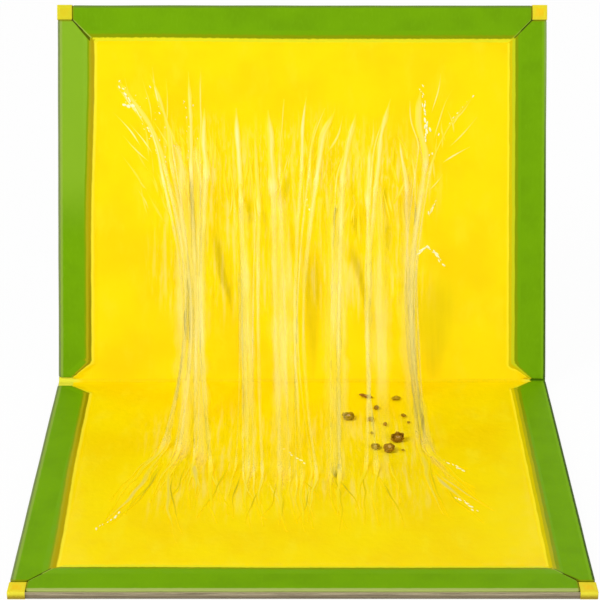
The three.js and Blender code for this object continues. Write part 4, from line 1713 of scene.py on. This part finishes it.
# %% The strings of each bundle
# Each string: bundle, kind, tip and leaving place on the upper leaf, sideways bow of the span, landing
# place and root end on the lower leaf, and half widths of its feather, span and landing. Places are x and
# distance from the fold, chosen from how the bundles lie in the photograph.
STRINGS = (
    (1, "tongue", (-80, 130), (-61, 96), 10, (-58, 62), (-77, 119), (1.3, 1.1, 1.0)),
    (1, "tongue", (-74, 124), (-62, 92), 8, (-56, 60), (-69, 112), (0.8, 0.7, 0.7)),
    (2, "tongue", (-67, 135), (-58, 97), 7, (-51, 66), (-60, 103), (0.8, 1.0, 0.8)),
    (2, "full veil", (-56, 106), (-53, 90), 2, (-49, 62), (-52, 86), (3.6, 6.0, 4.4)),
    (3, "tongue", (-50, 136), (-49, 95), 1, (-44, 70), (-44, 107), (1.0, 1.0, 0.8)),
    (3, "full veil", (-47, 104), (-46, 92), -1, (-41, 68), (-42, 92), (3.2, 4.8, 3.6)),
    (4, "tongue", (-43, 120), (-42, 94), -3, (-37, 77), (-33, 118), (1.6, 1.3, 0.9)),
    (5, "tongue", (-29, 120), (-27, 83), 0, (-22, 81), (-20, 122), (1.5, 1.2, 0.9)),
    (5, "veil", (-27, 86), (-26, 72), 0, (-21, 78), (-21, 100), (2.0, 3.6, 3.0)),
    (5, "thread", (-33, 102), (-30, 80), 2, (-27, 77), (-29, 112), (0.4, 0.5, 0.4)),
    (6, "tongue", (-21, 111), (-19, 78), -1, (-16, 83), (-15, 120), (1.0, 0.9, 0.7)),
    (6, "tongue", (-15, 119), (-13, 88), 0, (-9, 84), (-6, 124), (2.2, 1.6, 1.0)),
    (6, "veil", (-11, 88), (-10, 76), 1, (-8, 80), (-8, 104), (3.0, 6.2, 5.0)),
    (6, "thread", (-8, 124), (-10, 96), 0, (-5, 85), (-2, 118), (0.4, 0.6, 0.4)),
    (7, "tongue", (2, 125), (0, 97), -3, (0, 88), (1, 124), (0.9, 1.0, 0.8)),
    (8, "tongue", (15, 120), (7, 93), -6, (6, 84), (4, 122), (1.9, 1.0, 0.8)),
    (8, "veil", (12, 88), (13, 74), 0, (12, 78), (11, 104), (2.2, 4.6, 3.6)),
    (9, "tongue", (24, 118), (18, 92), -1, (15, 84), (17, 122), (1.8, 1.1, 0.9)),
    (9, "thin veil", (18, 88), (17, 76), 0, (16, 78), (17, 104), (2.4, 4.0, 3.6)),
    (10, "tongue", (39, 124), (33, 89), -4, (30, 80), (30, 120), (1.4, 1.1, 0.8)),
    (10, "tongue", (30, 104), (29, 82), 1, (26, 76), (23, 108), (1.9, 1.3, 0.9)),
    (10, "thin veil", (34, 88), (34, 74), 0, (33, 74), (34, 98), (2.2, 5.0, 4.2)),
    (11, "tongue", (43, 105), (46, 89), -1, (48, 56), (56, 90), (0.9, 1.0, 0.9)),
    (11, "thin veil", (45, 96), (47, 84), -2, (47, 56), (50, 78), (2.8, 4.2, 3.6)),
    (12, "tongue", (52, 128), (55, 99), -7, (52, 62), (69, 92), (1.8, 1.2, 1.0)),
    (12, "thread", (74, 124), (57, 96), -6, (51, 61), (73, 106), (0.5, 0.6, 0.5)),
    (12, "veil", (52, 112), (55, 96), -7, (52, 61), (66, 97), (1.6, 2.2, 3.0)),
)
Kind = namedtuple("Kind", "columns crown bodies glints")
VEIL_GLINTS = (0.0, 0.0, 0.0, 0.1, 0.0, 0.0)
# Each kind of string: columns and crown of its ribbon, and how opaque it is and how much painted highlight
# it carries at its tip, feather, leaving, middle, landing and root end.
KINDS = {
    "tongue": Kind(6, 0.35, (0.1, 0.62, 0.6, 0.5, 0.3, 0.0), (0.2, 0.7, 0.4, 0.25, 0.1, 0.0)),
    "full veil": Kind(14, 0.1, (0.0, 0.28, 0.46, 0.56, 0.3, 0.0), VEIL_GLINTS),
    "veil": Kind(14, 0.1, (0.0, 0.2, 0.34, 0.5, 0.3, 0.0), VEIL_GLINTS),
    "thin veil": Kind(14, 0.1, (0.0, 0.2, 0.34, 0.4, 0.05, 0.0), VEIL_GLINTS),
    "thread": Kind(4, 0.3, (0.1, 0.45, 0.45, 0.45, 0.3, 0.0), (0.1, 0.3, 0.3, 0.2, 0.1, 0.0)),
}
# How much painted shade every kind carries at the same six stations, for the outer bundles and for the
# others.
SHADE_STATIONS = {"outer": (0.0, 0.0, 0.0, 0.2, 0.5, 0.5), "inner": (0.0, 0.0, 0.0, 0.0, 0.2, 0.6)}
OUTER_BUNDLES = (1, 11, 12)
TIP_HALF = 0.3
FEATHER_SLIM = 0.8
ROOT_HALF = 0.25
FEATHER_PEAK = 0.3
# Sideways bow of a feather as a share of the span's, and of a root as a share of its length.
FEATHER_SWAY = 0.3
ROOT_SWAY = -0.04
# Length of a span as a share of the way from one end to the other over the fold.
SPAN_SHARE = 0.8
# How rosy a bundle is.
ROSE = {1: 0.3, 2: 0.35, 3: 0.3, 6: 0.2, 11: 0.7, 12: 0.4}
# Where a bundle's bending begins and ends: a share of the way in, and how far the nearer end draws it.
BLEND_INSET = 0.02
BLEND_SHIFT = 0.45
BUNDLE_SEED = 7.3
STRING_SEED = 1.9
THREAD_SEED = 20


def once(opaque):
    """How opaque one side of a film is for the whole film, which has two, to be this opaque."""
    return 1 - math.sqrt(1 - opaque)


def make_string(kind, tip, leave, sway, land, root, widths, seed, rose, darks):
    """One string from its tip on the upper pad to the end of its root on the lower pad."""
    look = KINDS[kind]
    feather = pad_run("upper", tip, leave, FEATHER_SWAY * sway, row_count(flat_length(tip, leave)))
    span = air_run(leave, land, sway, row_count(SPAN_SHARE * (leave[1] + land[1])))
    root_length = flat_length(land, root)
    tail = pad_run("lower", land, root, ROOT_SWAY * root_length, row_count(root_length))
    spots = smoothed(feather[:-1] + span + tail[1:])
    lifts = len(feather) - 1
    lands = lifts + len(span) - 1
    last = len(spots) - 1
    stations = (0, FEATHER_PEAK * lifts, lifts, (lifts + lands) / 2, lands, last)
    peak, middle, foot = widths
    peak *= FEATHER_SLIM
    widths_along = (TIP_HALF, peak, (peak + middle) / 2, middle, foot, ROOT_HALF)
    rows = []
    for row in range(last + 1):
        share = min(1, max(0, (row - lifts) / (lands - lifts)))
        flying = step(row, lifts - 1, lifts + 4) * (1 - step(row, lands - 4, lands + 1))
        opaque = between_stations(stations, look.bodies, row)
        rows.append(
            Row(
                half=between_stations(stations, widths_along, row),
                front=mixed(LEAF_NORMALS["upper"], LEAF_NORMALS["lower"], share),
                body=mixed(opaque, once(opaque), flying),
                air=1.0 if "veil" in kind else flying,
                glint=between_stations(stations, look.glints, row),
                dark=between_stations(stations, darks, row),
            )
        )
    return lay_ribbon(spots, rows, rose, look.columns, look.crown, seed)


def loose_thread(main, chance, seed, rose, darks):
    """A fine thread that keeps company with a bundle's first string."""
    _, _, tip, leave, sway, land, root, _ = main
    aside = chance.uniform(-4, 4)
    shift = chance.uniform(-6, 6)
    near_tip = (tip[0] + aside * 1.4, tip[1] + shift + chance.uniform(-14, 2))
    near_leave = (leave[0] + aside, leave[1] + shift)
    near_land = (land[0] + chance.uniform(-4, 4), land[1] + chance.uniform(-4, 4))
    near_root = (root[0] + chance.uniform(-6, 6), root[1] + chance.uniform(-20, -4))
    widths = (0.5, chance.uniform(0.35, 0.6), 0.4)
    return make_string("thread", near_tip, near_leave, sway, near_land, near_root, widths, seed, rose, darks)


def bend_ends(own):
    """Where a bundle's bending starts and ends, moved towards the end that is nearer the fold.

    A string turns most where it passes nearest the fold, and then it stays between the leaves as they close.
    """
    leaves = [leave for _, _, _, leave, *_ in own]
    lands = [land for _, _, _, _, _, land, *_ in own]
    top = sum((on_glue("upper", *leave) for leave in leaves), Vector()) / len(own)
    bottom = sum((on_glue("lower", *land) for land in lands), Vector()) / len(own)
    up = sum(distance for _, distance in leaves)
    down = sum(distance for _, distance in lands)
    shift = BLEND_SHIFT * (up - down) / (up + down)
    low = mixed(bottom, top, BLEND_INSET - shift)
    high = mixed(top, bottom, BLEND_INSET + shift)
    return tuple(low), tuple(high)


def make_bundle(number, chance):
    """The strings of one bundle and its loose thread, joined into one piece."""
    node_name = f"glue_string_{number:02d}"
    rose = ROSE.get(number, 0.0)
    own = [entry for entry in STRINGS if entry[0] == number]
    darks = SHADE_STATIONS["outer" if number in OUTER_BUNDLES else "inner"]
    ribbons = []
    for index, (_, kind, *route) in enumerate(own):
        ribbons.append(make_string(kind, *route, number * BUNDLE_SEED + index * STRING_SEED, rose, darks))
    ribbons.append(loose_thread(own[0], chance, number * BUNDLE_SEED + THREAD_SEED, rose, darks))
    bundle = join_ribbons(ribbons, f"drawn_glue_{number:02d}")
    low, high = bend_ends(own)
    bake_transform(bundle)
    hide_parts(node_name)
    return bundle


chance = random.Random(11)
bundles = [make_bundle(number, chance) for number in range(1, 13)]
print("bundles:", {bundle.name: len(bundle.data.polygons) for bundle in bundles})

# %% [markdown]
# ## Feathers and veins on the pads
# Round the strings' ends the pads carry what was left of the pull: pale feathers that fan out upwards, and
# roots and darker grooves that fan out downwards. They are short ribbons laid on the pad, and stay on
# their own leaf.

# %% Feathers and veins
FEATHERS_PER_TONGUE = 9
FEATHER_FAN = 0.12
# Thin pale curls seen at the upper corners of the web: start, end, sideways bow.
UPPER_CURLS = (
    ((57, 118), (61, 135), 0.8),
    ((58, 106), (66, 128), -1.0),
    ((64, 112), (75, 125), 1.2),
    ((65, 103), (77, 116), 0.8),
    ((62, 96), (74, 103), -1.0),
    ((66, 112), (70, 121), 1.0),
    ((67, 109), (64, 119), 0.8),
    ((56, 72), (59, 79), -0.8),
    ((55, 83), (62, 91), 1.0),
    ((-72, 116), (-82, 130), 0.8),
    ((-69, 112), (-78, 133), -1.2),
    ((-66, 112), (-71, 135), 0.8),
    ((-60, 110), (-60, 133), 0.8),
    ((-71, 103), (-83, 118), 1.0),
    ((-67, 96), (-79, 108), -0.8),
    ((-66, 100), (-76, 113), 0.8),
    ((-62, 118), (-66, 138), -0.8),
)
CURL_HALF = 0.35
CURL_BODY = 0.7
CURL_TINT = (0, 0, 0.7)
# Grooves and roots seen on the lower pad: start, end, sideways bow, half width, and how dark or pale.
LOWER_VEINS = (
    ((-30, 71), (-41, 114), 1.5, 0.5, "groove"),
    ((-25, 80), (-27, 114), -1.0, 0.45, "groove"),
    ((-10, 88), (-16, 114), 1.0, 0.4, "groove"),
    ((-8, 97), (-9, 119), 0.8, 0.45, "groove"),
    ((-1, 84), (7, 101), 1.0, 0.4, "groove"),
    ((10, 73), (14, 125), 3.0, 0.5, "groove"),
    ((14, 84), (22, 108), 1.0, 0.45, "groove"),
    ((24, 73), (24, 119), 0.6, 0.4, "groove"),
    ((31, 84), (39, 122), 1.5, 0.5, "groove"),
    ((-17, 92), (-22, 118), -0.8, 0.35, "groove"),
    ((3, 92), (-2, 116), 0.8, 0.35, "groove"),
    ((-60, 67), (-78, 120), 3.0, 1.3, "root"),
    ((-57, 72), (-71, 113), 2.5, 0.6, "groove"),
    ((-58, 66), (-74, 119), 4.0, 0.6, "groove"),
    ((-54, 73), (-48, 132), -2.0, 1.0, "root"),
    ((-52, 78), (-46, 126), -2.0, 0.5, "groove"),
    ((-45, 67), (-42, 99), 0.6, 1.4, "root"),
    ((-47, 72), (-55, 108), 1.5, 0.4, "groove"),
    ((50, 55), (55, 112), -2.5, 1.4, "root"),
    ((52, 66), (57, 114), -1.5, 0.5, "groove"),
    ((53, 80), (66, 104), -1.2, 1.2, "root"),
    ((54, 78), (75, 109), -2.0, 0.6, "root"),
    ((56, 88), (70, 118), -1.0, 0.5, "groove"),
)
# Tints are how rosy a ribbon is and how much painted shade and painted highlight it carries. A groove's dark
# tint is painted shade in it, and a root's is partly painted shade.
VEIN_TINTS = {"groove": (0, 1, 0), "root": (0.5, 0.45, 0)}
VEIN_BODIES = {"groove": 0.9, "root": 0.85}
VEIN_COLUMNS = 4
VEIN_CROWN = 0.12
# A short ribbon is widest at a share of its length. It starts at a share of that width, ends in a thin
# tip, and has faded there to a share of its body.
VEIN_PEAK = 0.35
VEIN_START = 0.5
VEIN_TIP = 0.12
VEIN_FADE = 0.15
ROOT_TINT = (0.1, 0.1, 0)
FEATHER_SEED = 300
ROOT_SEED = 500
SEED_STEP = 1.7


def lay_on_pad(leaf, start, end, sway, half, body, tint, seed):
    """A short ribbon on a pad, widest a third of the way along, fading at both ends."""
    rose, dark, glint = tint
    spots = smoothed(pad_run(leaf, start, end, sway, row_count(flat_length(start, end))))
    last = len(spots) - 1
    stations = (0, VEIN_PEAK * last, last)
    rows = []
    for row in range(last + 1):
        rows.append(
            Row(
                half=between_stations(stations, (VEIN_START * half, half, VEIN_TIP), row),
                front=LEAF_NORMALS[leaf],
                body=between_stations(stations, (0, body, VEIN_FADE * body), row),
                air=0.0,
                glint=glint,
                dark=dark,
            )
        )
    return lay_ribbon(spots, rows, rose, VEIN_COLUMNS, VEIN_CROWN, seed)


def upper_feathers(chance):
    """Pale feathers above each place where a string leaves the upper pad."""
    ribbons = []
    for _, kind, tip, leave, *_ in STRINGS:
        if kind != "tongue":
            continue
        for _ in range(FEATHERS_PER_TONGUE):
            x = leave[0] + chance.gauss(0, 4.5)
            distance = leave[1] + chance.uniform(-26, 12)
            length = chance.uniform(6, 20)
            lean = (tip[0] - leave[0]) / (tip[1] - leave[1]) + chance.gauss(0, FEATHER_FAN)
            half = chance.uniform(0.25, 0.75)
            body = chance.uniform(0.1, 0.42)
            tint = (0, 0, chance.uniform(0, 0.6))
            end = (x + lean * length, distance + length)
            seed = FEATHER_SEED + len(ribbons) * SEED_STEP
            bow = chance.gauss(0, 0.8)
            ribbons.append(lay_on_pad("upper", (x, distance), end, bow, half, body, tint, seed))
    for start, end, bow in UPPER_CURLS:
        seed = FEATHER_SEED + len(ribbons) * SEED_STEP
        ribbons.append(lay_on_pad("upper", start, end, bow, CURL_HALF, CURL_BODY, CURL_TINT, seed))
    return ribbons


def lower_roots(chance):
    """The veins seen on the lower pad, and thin roots that spread from each landing place."""
    ribbons = []
    for start, end, bow, half, kind in LOWER_VEINS:
        seed = ROOT_SEED + len(ribbons) * SEED_STEP
        ribbons.append(lay_on_pad("lower", start, end, bow, half, VEIN_BODIES[kind], VEIN_TINTS[kind], seed))
    for _, kind, _, _, _, land, root, _ in STRINGS:
        if "veil" in kind:
            continue
        x = mixed(land[0], root[0], 0.15) + chance.gauss(0, 2.5)
        distance = land[1] + chance.uniform(-8, 10)
        length = chance.uniform(16, 36)
        lean = (root[0] - land[0]) / (root[1] - land[1]) + chance.gauss(0, 0.12)
        half = chance.uniform(0.3, 0.7)
        body = chance.uniform(0.1, 0.35)
        end = (x + lean * length, distance + length)
        seed = ROOT_SEED + len(ribbons) * SEED_STEP
        bow = chance.gauss(0, 1.0)
        ribbons.append(lay_on_pad("lower", (x, distance), end, bow, half, body, ROOT_TINT, seed))
    return ribbons


def settle_ribbons(leaf, ribbons, name):
    """Joins the short ribbons of a leaf into one piece that rides on it."""
    piece = join_ribbons(ribbons, name)
    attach(piece, f"{leaf}_leaf")
    print(name, len(ribbons), "ribbons", len(piece.data.polygons), "faces")


chance = random.Random(23)
settle_ribbons("upper", upper_feathers(chance), "upper_feathers")
settle_ribbons("lower", lower_roots(chance), "lower_roots")

# %% [markdown]
# ## Beads
# Pulled glue breaks into rows of tiny drops. Each chain runs between two places, and its balls are
# scattered a little about that line, pressed flat on the glue, joined and roughened.

# %% Beads that catch the light
# Chains of beads: leaf, first place, last place, how many, half width and half length.
BEAD_CHAINS = (
    ("upper", (-81, 131), (-72, 117), 16, 0.35, 0.8),
    ("upper", (-78, 122), (-71, 119), 8, 0.5, 0.9),
    ("upper", (-69, 113), (-60, 95), 12, 0.3, 0.6),
    ("upper", (-43, 102), (-42, 95), 5, 0.4, 0.8),
    ("upper", (52, 130), (54, 121), 6, 0.22, 0.8),
    ("upper", (54, 121), (55, 112), 7, 0.4, 1.1),
    ("upper", (55, 113), (54, 104), 9, 0.42, 1.0),
    ("upper", (57, 101), (55, 95), 6, 0.3, 0.8),
    ("upper", (59, 79), (56, 73), 5, 0.25, 0.9),
    ("upper", (51, 56), (55, 59), 6, 0.35, 0.9),
    ("upper", (55, 59), (59, 56), 6, 0.35, 0.9),
    ("upper", (59, 56), (62, 51), 6, 0.35, 0.9),
    ("upper", (60, 108), (75, 125), 8, 0.22, 0.6),
    ("upper", (2, 79), (3, 74), 4, 0.4, 0.8),
    ("upper", (-76, 127), (-59, 94), 26, 0.2, 0.45),
    ("upper", (-66, 128), (-56, 96), 16, 0.18, 0.45),
    ("upper", (-52, 125), (-47, 98), 12, 0.18, 0.45),
    ("lower", (-71, 111), (-79, 122), 8, 0.35, 0.8),
    ("lower", (55, 67), (65, 78), 8, 0.3, 1.0),
    ("lower", (61, 99), (68, 109), 8, 0.35, 1.1),
    ("lower", (-7, 62), (1, 72), 6, 0.4, 0.9),
)
BEAD_FLATNESS = 0.45
BEAD_ROUGHNESS = 0.3
BEAD_SPREAD = 0.45
FINE_SPREAD = 2.0
FINE_BEAD = 0.22
BEAD_LIFT = 0.1
BEAD_GRAIN = 0.9

bead_noise = bpy.data.textures.new("bead_noise", "CLOUDS")
bead_noise.noise_scale = BEAD_GRAIN * MM


def bead_material():
    """A drop of glue: pale cream brightened to near white as a painted highlight, with a wet shine."""
    material, tree, shader = sheet_material("glue_bead", 0.12, ior_level=0.5, coat=0.3, coat_roughness=0.05)
    speck = noise_value(tree, object_place(tree), 0.8, 3.0)
    colour = blend_colour(tree, ramp(tree, speck, 0.35, 0.6), STRING_HIGHLIGHT, BEAD_HIGHLIGHT)
    tree.links.new(colour, shader.inputs["Base Color"])
    tree.links.new(ramp(tree, speck, 0.3, 0.7, 0.1, 0.25), shader.inputs["Roughness"])
    return material


def press_bead(leaf, x, distance, half, length, turn):
    """One small ball, stretched, turned and pressed onto the flat leaf."""
    height = pad_height(leaf, x, distance) + BEAD_LIFT
    bpy.ops.object.select_all(action="DESELECT")
    bpy.ops.mesh.primitive_ico_sphere_add(
        subdivisions=2,
        radius=MM,
        location=flat_place(leaf, x, distance, height),
        rotation=(0, 0, turn),
        scale=(half, length, BEAD_FLATNESS * half),
    )
    bpy.ops.object.transform_apply(location=True, rotation=True, scale=True)
    return bpy.context.object


def bead_group(leaf, chance):
    """All beads of a leaf as one piece that rides on it."""
    beads = []
    for chain_leaf, first, last, count, half, length in BEAD_CHAINS:
        if chain_leaf != leaf:
            continue
        along = math.atan2(last[0] - first[0], last[1] - first[1]) * -LEAVES[leaf]
        for i in range(count):
            share = i / (count - 1)
            spread = FINE_SPREAD if half < FINE_BEAD else BEAD_SPREAD
            x = mixed(first[0], last[0], share) + chance.gauss(0, spread)
            distance = mixed(first[1], last[1], share) + chance.gauss(0, spread)
            size = chance.uniform(0.5, 1.3)
            turn = along + chance.gauss(0, 0.25)
            beads.append(press_bead(leaf, x, distance, half * size, length * size, turn))
    group = join(beads, f"{leaf}_beads")
    roughen(group, bead_noise, BEAD_ROUGHNESS * MM)
    smooth(group, 80)
    settle(group, leaf)
    paint(group, GLUE_BEAD)
    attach(group, f"{leaf}_leaf")
    print(group.name, len(beads), "beads")


GLUE_BEAD = bead_material()
chance = random.Random(5)
for leaf in LEAVES:
    bead_group(leaf, chance)
